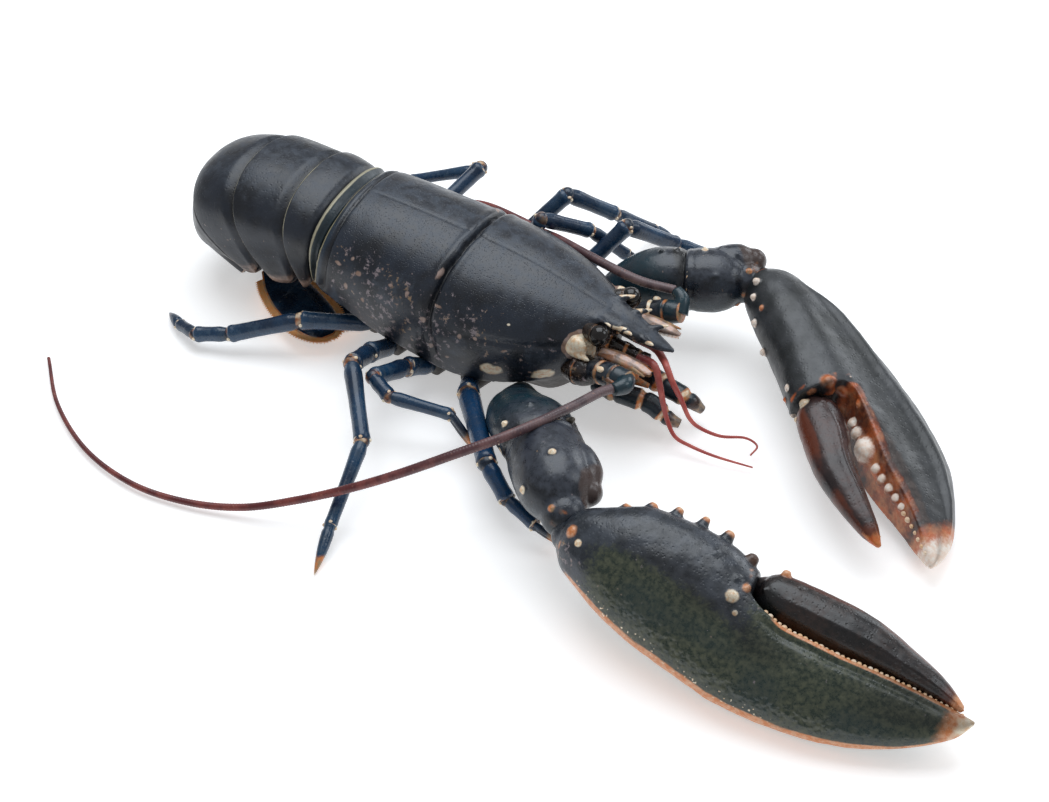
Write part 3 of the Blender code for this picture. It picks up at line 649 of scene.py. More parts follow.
def build_carapace(material):
    shape = Shape()
    stations = [*np.linspace(CARAPACE_X[0], 3, 9), *np.linspace(4.5, CARAPACE_X[-1], 60)]
    shape.add(lofted([carapace_ring(x) for x in stations]))
    shape.add(lofted([rostrum_ring(x) for x in np.linspace(ROSTRUM_X[0] - 6, ROSTRUM_X[-1], 34)]))
    for side in SIDES:
        for x, half in ROSTRUM_TEETH:
            top = float(blend(x, ROSTRUM_X, ROSTRUM_TOP))
            root, tip = (x - 3, side * (half - 2), top - 2), (x + 5, side * (half + 2), top + 0.6)
            shape.add(cone(root, tip, 1.8))
        shape.add(cone((97, side * 17, 34), (109, side * 19, 33.5), 2.6))
    cheek = seat_on(shape, [CHEEK_KNOB])[0][0]
    for side in SIDES:
        shape.add(globe(cheek * (1, -side, 1), (3.8, 2.4, 4.2), 30))
    mesh = fused(shape, 0.62)

    # The relief: the groove, the rear rim, the crest's line and the cheeks' bumps.
    points, normals = mesh_points(mesh)
    x, share = carapace_place(points)
    on_body = rise(points[:, 0], 112, 100)
    fade = np.clip(1.35 - 1.35 * share, 0, 1) * on_body
    from_groove = x - groove_line(share) - 0.5 * noise(points, 6, 3)
    offset = -3.0 * bell(from_groove, 1.0) * fade + 0.5 * bell(np.abs(from_groove) - 3, 1.6) * fade
    offset -= 1.2 * bell(x - 0.6, 0.75) * (share < 1.02)
    offset += 0.22 * rough_noise(points, 13, 11) - 0.22 * bell(points[:, 1], 0.45) * rise(x, 2, 6) * on_body
    low_front = rise(share, 0.45, 0.8) * rise(x, 70, 95)
    offset += 0.35 * low_front * np.clip(0.5 - cells(points, 3.4, 5), 0, 1)
    offset -= 0.5 * bell(share - 0.62 + 0.0012 * (x - 50), 0.025) * rise(x, 58, 66) * rise(x, 104, 92)
    points = points + normals * offset[:, None]
    for side in SIDES:
        away = points - EYE_PLACE * (1, side, 1)
        reach = np.linalg.norm(away, axis=1)
        push = np.maximum(EYE_RADIUS + 1.0 - reach, 0)
        points = points + away / reach[:, None] * push[:, None]
    set_points(mesh, points)

    # The colours.
    spot = {"pale": np.zeros(len(points)), "warm": np.zeros(len(points))}
    wobble = points + 0.8 * np.stack([noise(points, 2.2, n) for n in (21, 22, 23)], 1)
    hits = seat(mesh, [s[:2] for s in CARAPACE_SPOTS])
    for hit, (_, _, long, tall, colour) in zip(hits, CARAPACE_SPOTS):
        if hit is None:
            continue
        for mirror in SIDES:
            away = wobble - hit[0] * (1, mirror, 1)
            across = np.hypot(away[:, 1], away[:, 2])
            round_it = 1.25 - 0.75 * np.hypot(away[:, 0] / long, across / tall)
            spot[colour] = np.maximum(spot[colour], round_it)
    for mirror in SIDES:
        from_cheek = np.linalg.norm((wobble - cheek * (1, mirror, 1)) * (1, 0.8, 1), axis=1)
        lift(spot, pale=rise(from_cheek, 5.4, 3.8) * rise(points[:, 0] - cheek[0], 5.0, 3.5))
        lift(spot, warm=rise(from_cheek, 6.6, 5.4))
    line = bell(points[:, 1], 0.35) * rise(x, 3, 8) * (1 - bell(from_groove, 3)) * on_body
    line *= points[:, 2] > 40
    flank = rise(share, 0.22, 0.5) * rise(x, -1, 6) * rise(x, 112, 92)
    rim = bell(x + 2.9, 0.6)
    half = blend(points[:, 0], ROSTRUM_X, ROSTRUM_HALF)
    beak = rise(points[:, 0], 101, 108) * rise(np.abs(points[:, 1]) / half, 0.75, 1.0)
    patch = noise(points, 3, 33)
    low_edge = rise(share, 0.97, 1.0) * rise(x, 60, 95) * rise(patch, -0.2, 0.5)
    lift(spot, warm=0.42 * beak * (0.8 + 0.5 * patch) + 0.4 * low_edge)
    tips = beak * np.maximum(rise(np.abs(points[:, 1]) - half, 1.0, 2.0), rise(patch, 0.25, 0.5))
    lift(spot, pale=tips * 0.8)
    brown = flank * rise(noise(points, 15, 35), 0.0, 0.4)
    finish_piece(
        "shell_carapace", mesh, material, "blue_black_shell", ["carapace"], **spot,
        tone=0.7 * rise(share, 0.40, 0.12) + 0.2 * rise(x, 62, 80) + 0.7 * brown,
        fleck=flank * (0.62 + 0.60 * rise(noise(points, 22, 31), -0.3, 0.5) * rise(x, 100, 40)),
        edge=np.maximum(rim, 0.55 * line),
        blue=0.48 * rise(x, -0.4, -1.2) * rise(share, 0.1, 0.4),
        # The dark mark is painted shade in the cervical groove and in the groove along the rear rim.
        dark=0.85 * bell(from_groove, 0.85) * fade + 0.8 * bell(x - 0.6, 0.6),
    )


def build_eyes():
    black = eye_material()
    for side in SIDES:
        word = SIDE_NAMES[side]
        radii = (EYE_RADIUS * 0.96, EYE_RADIUS * 0.96, EYE_RADIUS)
        shape = Shape().add(globe(EYE_PLACE * (1, side, 1), radii, 28))
        piece_of(f"eyeball_{word}", shape, black, "black_eye", [f"eye_{word}"])


# Abdomen and tail fan

# The crest and the belly as (x, z) from the front of the first ring to the rear of the last, and there
# the half width and how far the rings' lower corners hang down.
TAIL_DORSAL = ((-4.1, 54.5), (-9, 56.4), (-25, 58), (-50.8, 56.6), (-73, 45.5), (-77.2, 23.5), (-54, 1.2))
TAIL_VENTRAL = ((-8.6, 29), (-11, 28), (-18, 26.5), (-36, 25), (-50, 21), (-55, 15.5), (-50, 8.2))
TAIL_HALF = (25.5, 26.5, 27.5, 28, 26.6, 21, 15.5)
TAIL_PLEURA = (2, 5, 7, 8, 7, 4, 1)
TAIL_LENGTHS = (5.4, 16, 26, 25, 22, 32)


def tail_ring(number, t, across=81, under=9):
    """A cross-section of one ring of the abdomen, at t from its front to its rear."""
    at, gap = np.arange(7), 0.02
    place = np.concatenate([np.abs(np.linspace(-1, 1, across)), np.ones(under)])
    over = np.arange(across + under) < across
    drop = np.clip((place - 0.75) / 0.25, 0, 1)
    lobe = np.where(over, drop, 0.0)
    here = 0.5 + (t - 0.5) * (1 - 0.40 * lobe**1.5) + 0.05 * lobe
    share = np.clip(number - 1 + gap + (1 - 2 * gap) * here, 0, 6)
    dorsal = np.stack([blend(share, at, [p[k] for p in TAIL_DORSAL]) for k in range(2)], 1)
    ventral = np.stack([blend(share, at, [p[k] for p in TAIL_VENTRAL]) for k in range(2)], 1)
    half, pleura = blend(share, at, TAIL_HALF), blend(share, at, TAIL_PLEURA)
    tall = np.linalg.norm(dorsal - ventral, axis=1)
    up = (dorsal - ventral) / tall[:, None]
    widest = 0.4 * tall
    length = TAIL_LENGTHS[number - 1]
    tuck = 1.9 if number > 1 else 0.3
    swell = 0.8 * rise(t, 0.2, 0.9) - tuck * rise(t * length, 5.5, 0.0)
    swell -= 0.8 * rise((1 - t) * length, 0.9, 0.0)
    angle = np.clip(place / 0.75, 0, 1) * math.pi / 2
    y = (half + swell) * np.sin(angle) ** 0.9 * (1 - 0.1 * drop**2)
    point = 1 - 0.35 * np.abs(t - 0.62) ** 1.5
    z = widest + (tall - widest + swell) * np.abs(np.cos(angle)) ** 0.9 - (widest + pleura * point) * drop
    way = np.concatenate([np.sign(np.linspace(-1, 1, across)), np.zeros(under)])
    flat = np.concatenate([np.zeros(across), np.linspace(0.85, -0.85, under)])
    sideways = np.where(over, way * y, flat * half)
    heights = np.where(over, z, -0.45 * pleura)
    ring = np.stack([ventral[:, 0] + up[:, 0] * heights, sideways, ventral[:, 1] + up[:, 1] * heights], 1)
    return ring, np.where(over, place, 1.2)


def build_tail(material):
    for number, length in enumerate(TAIL_LENGTHS, 1):
        steps = np.concatenate([
            np.linspace(0, 5.5, 9), np.linspace(6.4, max(length - 2.2, 6.5), 12),
            length - np.array((1.6, 1.2, 0.9, 0.65, 0.45, 0.3, 0.15, 0)),
        ])
        ts = np.unique(np.clip(steps / length, 0, 1))
        rings, places = zip(*[tail_ring(number, t) for t in ts])
        body = lofted(rings)
        points = body[0]
        t = spread(ts, len(rings[0]))
        front, back = t * length, (1 - t) * length
        place = np.concatenate([*places, [1.2, 1.2]])
        points[:] += 0.16 * rough_noise(points, 9, 40 + number)[:, None] * (0, 0, 1)
        patch = noise(points, 6, 50)
        if number == 1:
            edge = bell(back - 0.7, 0.8) * (0.95 + 0.2 * patch)
        else:
            edge = bell(back - 0.55, 0.5) * (0.80 + 0.4 * patch)
        tip = rise(place, 0.88, 1.0) * (0.8 + 0.5 * patch)
        tip = np.maximum(tip, 0.9 * bell(back - 0.6, 0.9) * rise(place, 0.5, 0.7) * (0.4 + patch))
        tip *= place < 1.1
        # The dark mark at each ring's front is painted shade where that ring tucks under the one before.
        shape = Shape().add(
            body, edge=edge * (place < 1.1), warm=0.85 * tip, pale=0.5 * tip * rise(place, 0.9, 1),
            dark=0.9 * rise(front, 3.0, 1.0) * (number > 1), fleck=0.42 * rise(place, 0.4, 0.7),
            tone=0.5 * rise(place, 0.6, 0.2), blue=0.8 if number == 1 else 0.0,
        )
        piece_of(f"shell_tail_ring_{number}", shape, material, "blue_black_shell", [f"tail_ring_{number}"])


# Each plate's root, reach, heading in degrees, half widths, how low it lies and how thick it is.
FAN = (
    ("telson", (-46, 0), 44, 0, (9, 13, 13.5, 12.5, 9.5), 0, 2.4),
    ("uropod_right_inner", (-45, -8), 52, -13, (4, 10, 13, 12.5, 7), 2.8, 2.2),
    ("uropod_left_inner", (-45, 8), 52, 13, (4, 10, 13, 12.5, 7), 2.8, 2.2),
    ("uropod_right_outer", (-43, -10), 52, -27, (4, 11, 13.5, 13, 8), 5.4, 2.2),
    ("uropod_left_outer", (-43, 10), 52, 27, (4, 11, 13.5, 13, 8), 5.4, 2.2),
)
FRINGE = 3.2
HAIR_SPACING = 0.42


def build_fan(material, fringe_material):
    for name, root, reach, heading, halves, low, thick in FAN:
        heading = math.radians(heading)
        ahead = np.array([math.cos(heading), math.sin(heading), 0])
        across = np.array([-math.sin(heading), math.cos(heading), 0])
        root = np.array([*root, low + thick / 2], float)
        length, widest = reach - FRINGE, max(halves) - FRINGE
        shares = np.concatenate([np.linspace(0, 0.8, 30), np.linspace(0.815, 1, 20)])
        outer = (halves[0], widest * 0.84, widest, widest, widest * 0.9)
        halfs = blend(shares, (0, 0.25, 0.5, 0.75, 1), outer)
        halfs = halfs * np.sqrt(np.clip(1 - np.clip((shares - 0.62) / 0.385, 0, 1)**2.4, 0.0004, 1))
        rings = []
        for s, half in zip(shares, halfs):
            ring = oval(root + ahead * length * s, across, np.array([0, 0, 1.0]), half,
                        thick / 2 * (1 - 0.5 * s**4), 48, 0.7)
            place = (ring - root) @ across / widest
            ribs = 0.12 * np.cos(place * 16) * rise(s, 0.15, 0.5) * rise(s, 0.98, 0.85)
            ring[:, 2] += ribs * np.sign(ring[:, 2] - root[2])
            rings.append(ring)
        shape = Shape().add(lofted(rings))
        points = shape.all_points()
        along = (points - root) @ ahead / length
        from_side = np.interp(along, shares, halfs) - np.abs((points - root) @ across)
        rim = rise(np.minimum(from_side, (1 - along) * length), 1.3, 0.3)
        piece_of(f"plate_{name}", shape, material, "blue_leg_shell", [name], warm=rim * 1.1, tone=0.3 * rim)

        outline = np.array([(length * s, half) for s, half in zip(shares, halfs) if s > 0.06] + [(length, 0)])
        steps = np.concatenate([[0], np.cumsum(np.linalg.norm(np.diff(outline, axis=0), axis=1))])

        def on_outline(at):
            return np.array([np.interp(at, steps, outline[:, axis]) for axis in (0, 1)])

        hairs = Shape()
        for k, at in enumerate(np.arange(0.2, steps[-1], HAIR_SPACING)):
            place = on_outline(at)
            way = unit(on_outline(at + 2.5) - on_outline(at - 2.5))
            for side in SIDES:
                base = root + ahead * place[0] + across * side * place[1]
                lean = unit(ahead * (-way[1] + 0.25) + across * side * way[0])
                long = FRINGE * (0.86 + 0.14 * math.sin(k * 2.3 + side))
                hairs.add(cone(base - lean * 0.8, base + lean * long, 0.42, 5, 0.3), warm=1.0)
        piece_of(f"fringe_{name}", hairs, fringe_material, "blue_leg_shell", [])


# Legs

# Each leg's joints from its hip to its tip, and its radius at each.
LEG_JOINTS = {
    (RIGHT, 2): (
        (62, -27, 7.4), (68, -38, 12.5), (96.5, -72, 20), (108, -77.5, 12.5), (121, -80, 8), (134, -80.5, 4),
    ),
    (RIGHT, 3): (
        (45, -27, 8), (41, -39, 15), (38.5, -57.5, 23.5), (48.5, -62, 22), (70, -54, 16.5), (87, -58, 3),
    ),
    (RIGHT, 4): (
        (27, -27, 10), (27.5, -44, 20), (30, -58.5, 27), (51.5, -85, 20), (57, -116, 6.5), (62, -134, 1),
    ),
    (RIGHT, 5): (
        (14, -22, 12), (-8, -38.5, 16.5), (-33, -52, 8.5), (-46, -57, 6.5), (-57, -53, 3.8), (-66, -48, 2),
    ),
    (LEFT, 2): (
        (66, 27, 8), (70.5, 43.2, 14.2), (83, 60, 31), (97, 77.5, 15), (112, 88, 6), (124, 91, 2),
    ),
    (LEFT, 3): (
        (47, 27, 8), (45, 40, 14.5), (55.5, 39.5, 38), (69.4, 54.7, 27), (81.3, 64.6, 12), (87, 69, 3),
    ),
    (LEFT, 4): (
        (34, 27, 9), (37, 42, 12), (55, 61.5, 35), (70, 75, 21.5), (80.5, 91, 6), (87.5, 95.5, 1.6),
    ),
    (LEFT, 5): (
        (14, 22, 12), (1, 43, 15.5), (9, 70, 25), (4, 74, 19), (-24, 66.5, 8), (-42, 60, 1.5),
    ),
}
LEG_RADII = {
    (RIGHT, 2): (4.2, 4.9, 4.2, 3.4, 2.5, 0.8),
    (RIGHT, 3): (3.8, 4.1, 3.7, 3.2, 2.6, 0.8),
    (RIGHT, 4): (3.8, 4.1, 4.1, 3.4, 2.6, 0.8),
    (RIGHT, 5): (3.6, 3.8, 3.5, 3.2, 2.5, 0.8),
    (LEFT, 2): (3.7, 4.0, 3.8, 3.3, 2.5, 0.8),
    (LEFT, 3): (3.6, 3.8, 3.5, 3.1, 2.5, 0.8),
    (LEFT, 4): (3.6, 3.8, 3.7, 3.2, 2.5, 0.8),
    (LEFT, 5): (3.6, 3.8, 3.7, 3.2, 2.5, 0.8),
}
LEG_FLAT = 0.88
LEG_SIDES = 22
LEG_ROOT_RADII = (6.4, 6.0, 5.2, 4.4)


def leg_segment(start, end, near, far, side, above, seed, tip):
    """One horny segment: swollen at both ends, waisted, with a thin pale collar at its outer end."""
    length = float(np.linalg.norm(end - start))
    ahead = (end - start) / length
    shares = np.concatenate([np.linspace(0, 0.16, 8), np.linspace(0.22, 0.8, 12), np.linspace(0.84, 1, 10)])
    rings, warm, pale, dark = [], [], [], []
    for s in shares:
        mm_in, mm_out = s * length, (1 - s) * length
        radius = near * (1 - s) + far * s
        if tip:
            radius = near * ((1 - s**2.2) * 0.98 + 0.06) * (1 - 0.15 * bell(s - 0.06, 0.05))
            warm.append(0.15 + 0.75 * rise(s, 0.35, 0.8))
            pale.append(0.5 * rise(s, 0.8, 1.0))
            dark.append(0.3 * bell(s - 0.3, 0.2))
        else:
            swell = 0.80 + 0.20 * rise(mm_in, 0.3, 4.5) - 0.07 * bell(s - 0.5, 0.3)
            swell += 0.07 * bell(mm_out - 2.0, 1.3) - 0.22 * bell(mm_out, 0.7) - 0.14 * bell(mm_in, 0.5)
            radius *= swell
            warm.append(0.50 * bell(mm_out - 0.5, 0.55) + 0.42 * bell(mm_in - 0.3, 0.5))
            pale.append(0.52 * bell(mm_out - 1.2, 0.45) + 0.2 * bell(mm_in - 0.9, 0.4))
            dark.append(0.35 * bell(mm_out, 0.3) + 0.25 * rise(mm_in, 6, 0))
        rings.append(oval(start + ahead * s * length, side, above, radius * LEG_FLAT, radius, LEG_SIDES))
    body = lofted(rings)
    points = body[0]
    middle = spread([ring.mean(0) for ring in rings], LEG_SIDES)
    points[:] += (points - middle) * (0.035 * rough_noise(points, 5, seed))[:, None]
    patchy = 0.85 + 0.9 * noise(points, 2.6, seed + 5)
    warm, pale, dark = (spread(mark, LEG_SIDES) for mark in (warm, pale, dark))
    return body, {"warm": warm * patchy, "pale": pale * patchy, "dark": dark}


def add_pincer(shape, start, end, near, sideways, above):
    """The two small fingers at the end of a leg."""
    ahead = unit(end - start)
    for way, long in ((1, 1.0), (-1, 0.93)):
        lean = above * way
        root = start - ahead * 0.6 + lean * near * 0.34
        tip = start + (end - start) * long + lean * 0.25
        bow = (root + tip) / 2 + lean * near * 0.30
        widths = (near * 0.62, near * 0.60, near * 0.45, near * 0.13)
        body = lofted(pipe((root, bow, tip), widths, [w * 0.85 for w in widths], 14, 14, up=sideways))
        far_on = share_along(body[0], start, end)
        shape.add(body, warm=0.1 + 0.8 * rise(far_on, 0.2, 0.7), pale=0.5 * rise(far_on, 0.75, 1.0))


def add_leg_joint(shape, place, radius, ahead, after, sideways, above, seed):
    """The soft joint that closes the gap between two segments, with its beads."""
    ball = globe(place, (radius * 0.82,) * 3, 18)
    patch = noise(ball[0], 2.2, seed)
    shape.add(ball, warm=0.45 + 0.4 * patch, pale=0.30 + 0.4 * patch, dark=0.25)
    out = unit(above - after * (above @ after))
    for way in (1, -1):
        bead = globe(place + sideways * way * radius * 0.80, (0.75, 0.75, 0.75), 10)
        shape.add(bead, pale=0.7, warm=0.9)
    shape.add(globe(place - ahead * 1.2 + out * radius * 0.86, (0.9, 0.9, 0.6), 10), pale=0.6, warm=0.9)


def build_legs(material):
    for (side, number), joints in LEG_JOINTS.items():
        word, radii = SIDE_NAMES[side], LEG_RADII[side, number]
        joints = np.array(joints, float)
        vivid = 0.9 if (side, number) == (RIGHT, 2) else 0.4
        shape = Shape()
        sideways = unit(np.cross((0, 0, 1), unit(joints[1] - joints[0])))
        count = len(joints) - 1
        for i, (start, end) in enumerate(zip(joints, joints[1:])):
            ahead = unit(end - start)
            sideways = unit(sideways - ahead * (sideways @ ahead))
            above = np.cross(ahead, sideways)
            last = i == count - 1
            near, far = radii[i], radii[i + 1]
            seed = 100 + number * 10 + i + (50 if side == LEFT else 0)
            if last and number in (2, 3):
                add_pincer(shape, start, end, near, sideways, above)
                continue
            over = ahead * (0 if last else 0.5)
            body, marks = leg_segment(start, end + over, near, far, sideways, above, seed, last)
            tone = 0.5 + 0.5 * noise(body[0], 9, seed)
            shape.add(body, tone=tone, blue=vivid * (0.7 + 0.6 * tone), **marks)
            if not last:
                after = unit(joints[i + 2] - end)
                add_leg_joint(shape, end, far, ahead, after, sideways, above, seed)
        piece_of(f"limb_{word}_{number}", shape, material, "blue_leg_shell",
                 [f"leg_{word}_{number}_upper", f"leg_{word}_{number}_lower"])


# Claw arms

# Middle lines from the body outwards, with half widths and heights or radii along them.
ARMS = {
    RIGHT: ((83, -24, 8.5), (91.5, -40, 15.5), (104, -52, 24), (113.4, -60.6, 26.5)),
    LEFT: ((84, 24, 8.5), (95, 39.5, 19.2), (107, 44.3, 26.3), (116.6, 47.4, 27)),
}
ARM_SIDES = {RIGHT: (5, 10, 13.5, 15, 14), LEFT: (5, 7.5, 10.5, 11.8, 11)}
ARM_UPS = {RIGHT: (5, 8.5, 10.5, 11.5, 11), LEFT: (5, 7.5, 10, 11.3, 10.5)}
WRISTS = {
    RIGHT: ((114.6, -61.8, 26.8), (127.5, -76.8, 30), (136.6, -87.2, 29)),
    LEFT: ((118.1, 48, 27.1), (130, 53, 28), (136.4, 56, 28)),
}
WRIST_RADII = {RIGHT: (12, 14, 14.3, 13, 7), LEFT: (10, 12, 12.5, 11.2, 6.5)}
KNUCKLES = {
    RIGHT: ((124, -62, 30.5), (132, -67.5, 32.2), (140.6, -74.6, 31.6)),
    LEFT: ((122, 53, 30), (129.5, 58.5, 33), (137.5, 64.2, 34)),
}
KNUCKLE_RADII = (6.5, 7.4, 6.9, 3.6)
ARM_VOXEL = 0.6

# Bumps seen on the arms, as (u, v) in the photo, radius in mm, how far they stand out, and colour.
ARM_BUMPS = {
    ("arm", RIGHT): (
        (567, 423, 2.4, 4.2, "pale"), (533, 524, 1.5, 1.0, "warm"), (505, 424, 1.8, 1.4, "pale"),
        # The four low pale bumps from (498, 442) on are a painted highlight: a glossy streak along the arm's
        # edge.
        (530, 404, 1.5, 0.9, ""), (498, 442, 1.5, 0.2, "pale"),
        (500, 451, 1.5, 0.2, "pale"), (503, 461, 1.4, 0.2, "pale"), (507, 471, 1.6, 0.2, "pale"),
    ),
    ("wrist", RIGHT): (
        (552, 452, 1.9, 1.6, "pale"), (551, 508, 1.8, 1.0, "warm"), (523, 490, 2.0, 1.5, "pale"),
    ),
    ("arm", LEFT): ((662, 252, 1.6, 1.4, ""), (678, 250, 1.4, 1.2, ""), (690, 262, 1.4, 0.9, "")),
    ("wrist", LEFT): (
        (705, 250, 1.8, 1.5, "pale"), (749, 271, 1.6, 1.0, "warm"), (737, 304, 1.6, 1.2, "warm"),
        (722, 248, 1.5, 1.2, ""), (738, 254, 1.4, 0.9, ""), (716, 276, 1.5, 0.8, ""),
        (726, 292, 1.4, 0.7, ""),
    ),
}


def build_arm(side, material):
    word = SIDE_NAMES[side]
    rings = swollen(
        pipe(ARMS[side], ARM_SIDES[side], ARM_UPS[side], 60, 64),
        lambda s: (1.02 - 0.10 * bell(s - 0.25, 0.03) - 0.05 * bell(s - 0.97, 0.02)
                   + 0.03 * bell(s - 0.32, 0.05) + 0.02 * bell(s - 0.9, 0.04)),
    )
    shape = Shape().add(lofted(rings))
    seated = add_bumps(shape, ARM_BUMPS["arm", side])
    mesh = fused(shape, ARM_VOXEL)
    points, normals = mesh_points(mesh)
    points = pushed(mesh, points, normals, 0.25 * rough_noise(points, 9, 201))
    s = share_along(points, np.array(ARMS[side][0]), np.array(ARMS[side][-1]))
    marks = spot_marks(points, seated)
    patch = noise(points, 4, 203)
    lift(marks, warm=bell(s - 0.27, 0.012) * (0.35 + 0.6 * patch))
    finish_piece(
        f"shell_arm_{word}", mesh, material, "blue_black_shell", [f"arm_{word}"], **marks,
        # The dark at the arm's far end is painted shade where it meets the wrist.
        dark=0.8 * bell(s - 0.24, 0.02) + 0.9 * rise(s, 0.965, 1.0),
        blue=rise(s, 0.98, 0.7) * (0.7 + 0.5 * patch),
        # The tone mixes mottled lighter slate, strongest on upward-facing surfaces as a painted sheen from
        # above.
        fleck=0.35 + 0.2 * patch, tone=0.15 + 0.5 * rise(normals[:, 2], 0.5, 1.0),
    )


def build_wrist(side, material):
    word = SIDE_NAMES[side]
    path, knob = np.array(WRISTS[side]), np.array(KNUCKLES[side][2])
    path[0] += unit(path[0] - path[1]) * 2.6
    radii = np.array(WRIST_RADII[side]) + (1.6, 0.6, 0.2, 0.2, 1.0)
    rings = swollen(
        pipe(path, radii, radii, 60, 64),
        lambda s: 1 - 0.08 * bell(s, 0.02) + 0.03 * bell(s - 0.07, 0.03) - 0.05 * bell(s - 0.14, 0.02),
    )
    shape = Shape().add(lofted(rings))
    shape.add(lofted(pipe(KNUCKLES[side], KNUCKLE_RADII, KNUCKLE_RADII, 24, 30)))
    shape.add(globe(knob - 0.8, (5.2, 5.2, 5.2), 24))
    shape.add(globe(path[2], (8.5, 8.5, 8.5), 24))
    seated = add_bumps(shape, ARM_BUMPS["wrist", side])
    mesh = fused(shape, ARM_VOXEL, 12)
    points, normals = mesh_points(mesh)
    points = pushed(mesh, points, normals, 0.22 * rough_noise(points, 9, 211))
    s = share_along(points, path[0], path[-1])
    marks = spot_marks(points, seated)
    patch = noise(points, 4, 213)
    from_knob = np.linalg.norm(points - knob, axis=1)
    lift(marks, edge=rise(from_knob, 13, 7) * (0.85 + 0.3 * patch),
         warm=rise(s, 0.93, 1.0) * (0.75 * patch - 0.05), pale=bell(s - 0.045, 0.012) * (0.2 + 0.6 * patch))
    finish_piece(
        f"shell_wrist_{word}", mesh, material, "blue_black_shell", [f"wrist_{word}"], **marks,
        # The dark at the wrist's root is painted shade where it meets the arm; the tone, strongest on
        # upward-facing surfaces, is mottling plus a painted sheen from above.
        dark=0.8 * rise(s, 0.02, 0.0), blue=0.5 * rise(normals[:, 2], 0.3, -0.3),
        fleck=0.30 + 0.25 * patch, tone=0.2 + 0.65 * rise(normals[:, 2], 0.4, 0.95),
    )


# Claws

# Each claw's places along it, and there how far its palm reaches out, in at the biting edge and in where
# uncut, and its half thickness; then the same for the free finger.
CLAWS = {
    RIGHT: {
        "wrist": (140.8, -94.1, 26.5), "tip": (291.8, -92.9, 14.4), "roll": 30,
        "along": (0, 4, 12, 25, 40, 55, 66, 68.2, 76, 85, 100, 115, 130, 140, 147, 150),
        "outer": (6, 10.5, 14.5, 20, 24, 26.5, 28.3, 28.7, 28.7, 28.3, 26.8, 23, 16.6, 10.1, 3.7, -2),
        "inner": (8, 12, 16.5, 22, 23.3, 21.5, 17.5, 8, 4.6, 2.8, 2.7, 3.6, 4, 3.8, 3.4, 3.2),
        "whole": (8, 12, 16.5, 22, 23.3, 21.5, 17.5, 16.5, 13.5, 11, 8.5, 6.8, 5.4, 4.4, 3.4, 3.2),
        "thick": (7, 10.2, 13, 15, 15.2, 14.6, 13.8, 13.6, 12.9, 12, 10.8, 9, 6.6, 4.6, 2.4, 0.7),
        "finger": (68.8, 70, 74, 82, 97, 109, 121, 131, 140, 145),
        "bite": (7.0, 5.8, 4.3, 3.2, 2.8, 3.4, 3.9, 4.1, 4.0, 3.8),
        "far": (16, 18.3, 20.2, 20.8, 20.9, 19.7, 16.5, 13.5, 9.4, 6.3),
        "deep": (5, 7.5, 9.5, 10, 9.5, 8.5, 7.2, 5.6, 3.2, 0.9),
        "spines": (14, 22, 31, 40.5, 50),
        "notch": (66, 68.2),
    },
    LEFT: {
        "wrist": (143, 60, 28), "tip": (253, -29, 10), "roll": 16,
        "along": (0, 4, 12, 25, 40, 55, 62.4, 64.6, 70, 85, 100, 115, 125, 134, 140, 142.5),
        "outer": (8, 12, 15, 20.3, 24.9, 28.8, 30, 30.3, 31.1, 31.5, 29.8, 24.2, 18.5, 12, 5, -1),
        "inner": (7.5, 10, 11.5, 13.2, 14.8, 18, 19, 2.2, 0, 1, 2, 1.2, 1.2, 2, 2.4, 2.4),
        "whole": (7.5, 10, 11.5, 13.2, 14.8, 18, 19, 18.8, 18, 14, 10.5, 7, 5, 3.6, 2.8, 2.4),
        "thick": (7, 9.6, 12, 13.6, 14, 13.8, 13.4, 13.2, 12.8, 11.6, 10, 8.2, 6.6, 4.6, 2.6, 0.8),
        "finger": (65.2, 66.5, 71, 80, 98, 114, 124, 131),
        "bite": (6.0, 4.2, 3.4, 4.8, 10.6, 12.8, 14.8, 17.0),
        "far": (15.5, 18.4, 20.8, 22.8, 25.3, 23.8, 21.6, 18.6),
        "deep": (4.5, 6.5, 7.8, 8, 6.8, 5, 3.2, 0.8),
        "spines": (),
        "notch": (62.4, 64.6),
    },
}
SPINE_SIZE = 4
SPINE_HEIGHTS = (0.9, 1.2, 1.6, 1.9, 1.7)
PALM_VOXEL, FINGER_VOXEL = 0.6, 0.5
# The crusher's blunt teeth: how far along the claw, and their half length and half width.
MOLARS = (
    (76.5, 2.4, 2.2), (82, 3.0, 3.4), (90, 5.4, 4.8), (98.8, 2.2, 2.5), (103.6, 2.0, 2.4),
    (108.2, 2.0, 2.1), (112.6, 1.8, 1.8), (116.8, 1.6, 1.7),
)

CLAW_BUMPS = {
    RIGHT: (
        (750, 562, 3.6, 3.0, "edge"), (732, 596, 2.7, 1.3, "pale"), (747, 588, 2.0, 1.0, "warm"),
        (758, 603, 1.2, 0.5, "pale"), (735, 613, 1.1, 0.5, "pale"), (716, 553, 2.2, 0.5, ""),
        (738, 578, 2.2, 0.7, ""), (571, 531, 2.6, 0.8, "warm"), (563, 519, 1.6, 0.6, "pale"),
        (578, 543, 1.6, 0.5, "pale"),
    ),
    LEFT: (
        (757, 282, 2.2, 2.0, "pale"), (754, 297, 2.1, 1.7, "pale"), (762, 308, 1.6, 1.2, "warm"),
        (756, 323, 2.2, 1.9, "pale"), (765, 352, 2.4, 2.2, "pale"), (787, 388, 1.8, 1.0, "pale"),
        (785, 400, 1.6, 1.0, "warm"), (793, 416, 1.7, 1.0, "pale"), (829, 381, 4.0, 1.8, "warm"),
        (843, 392, 3.0, 1.0, "warm"),
        (851, 376, 0.9, 0.5, "pale"), (862, 383, 0.9, 0.5, "pale"), (812, 392, 2.2, 0.9, "warm"),
        (858, 404, 2.2, 1.0, "warm"),
    ),
}
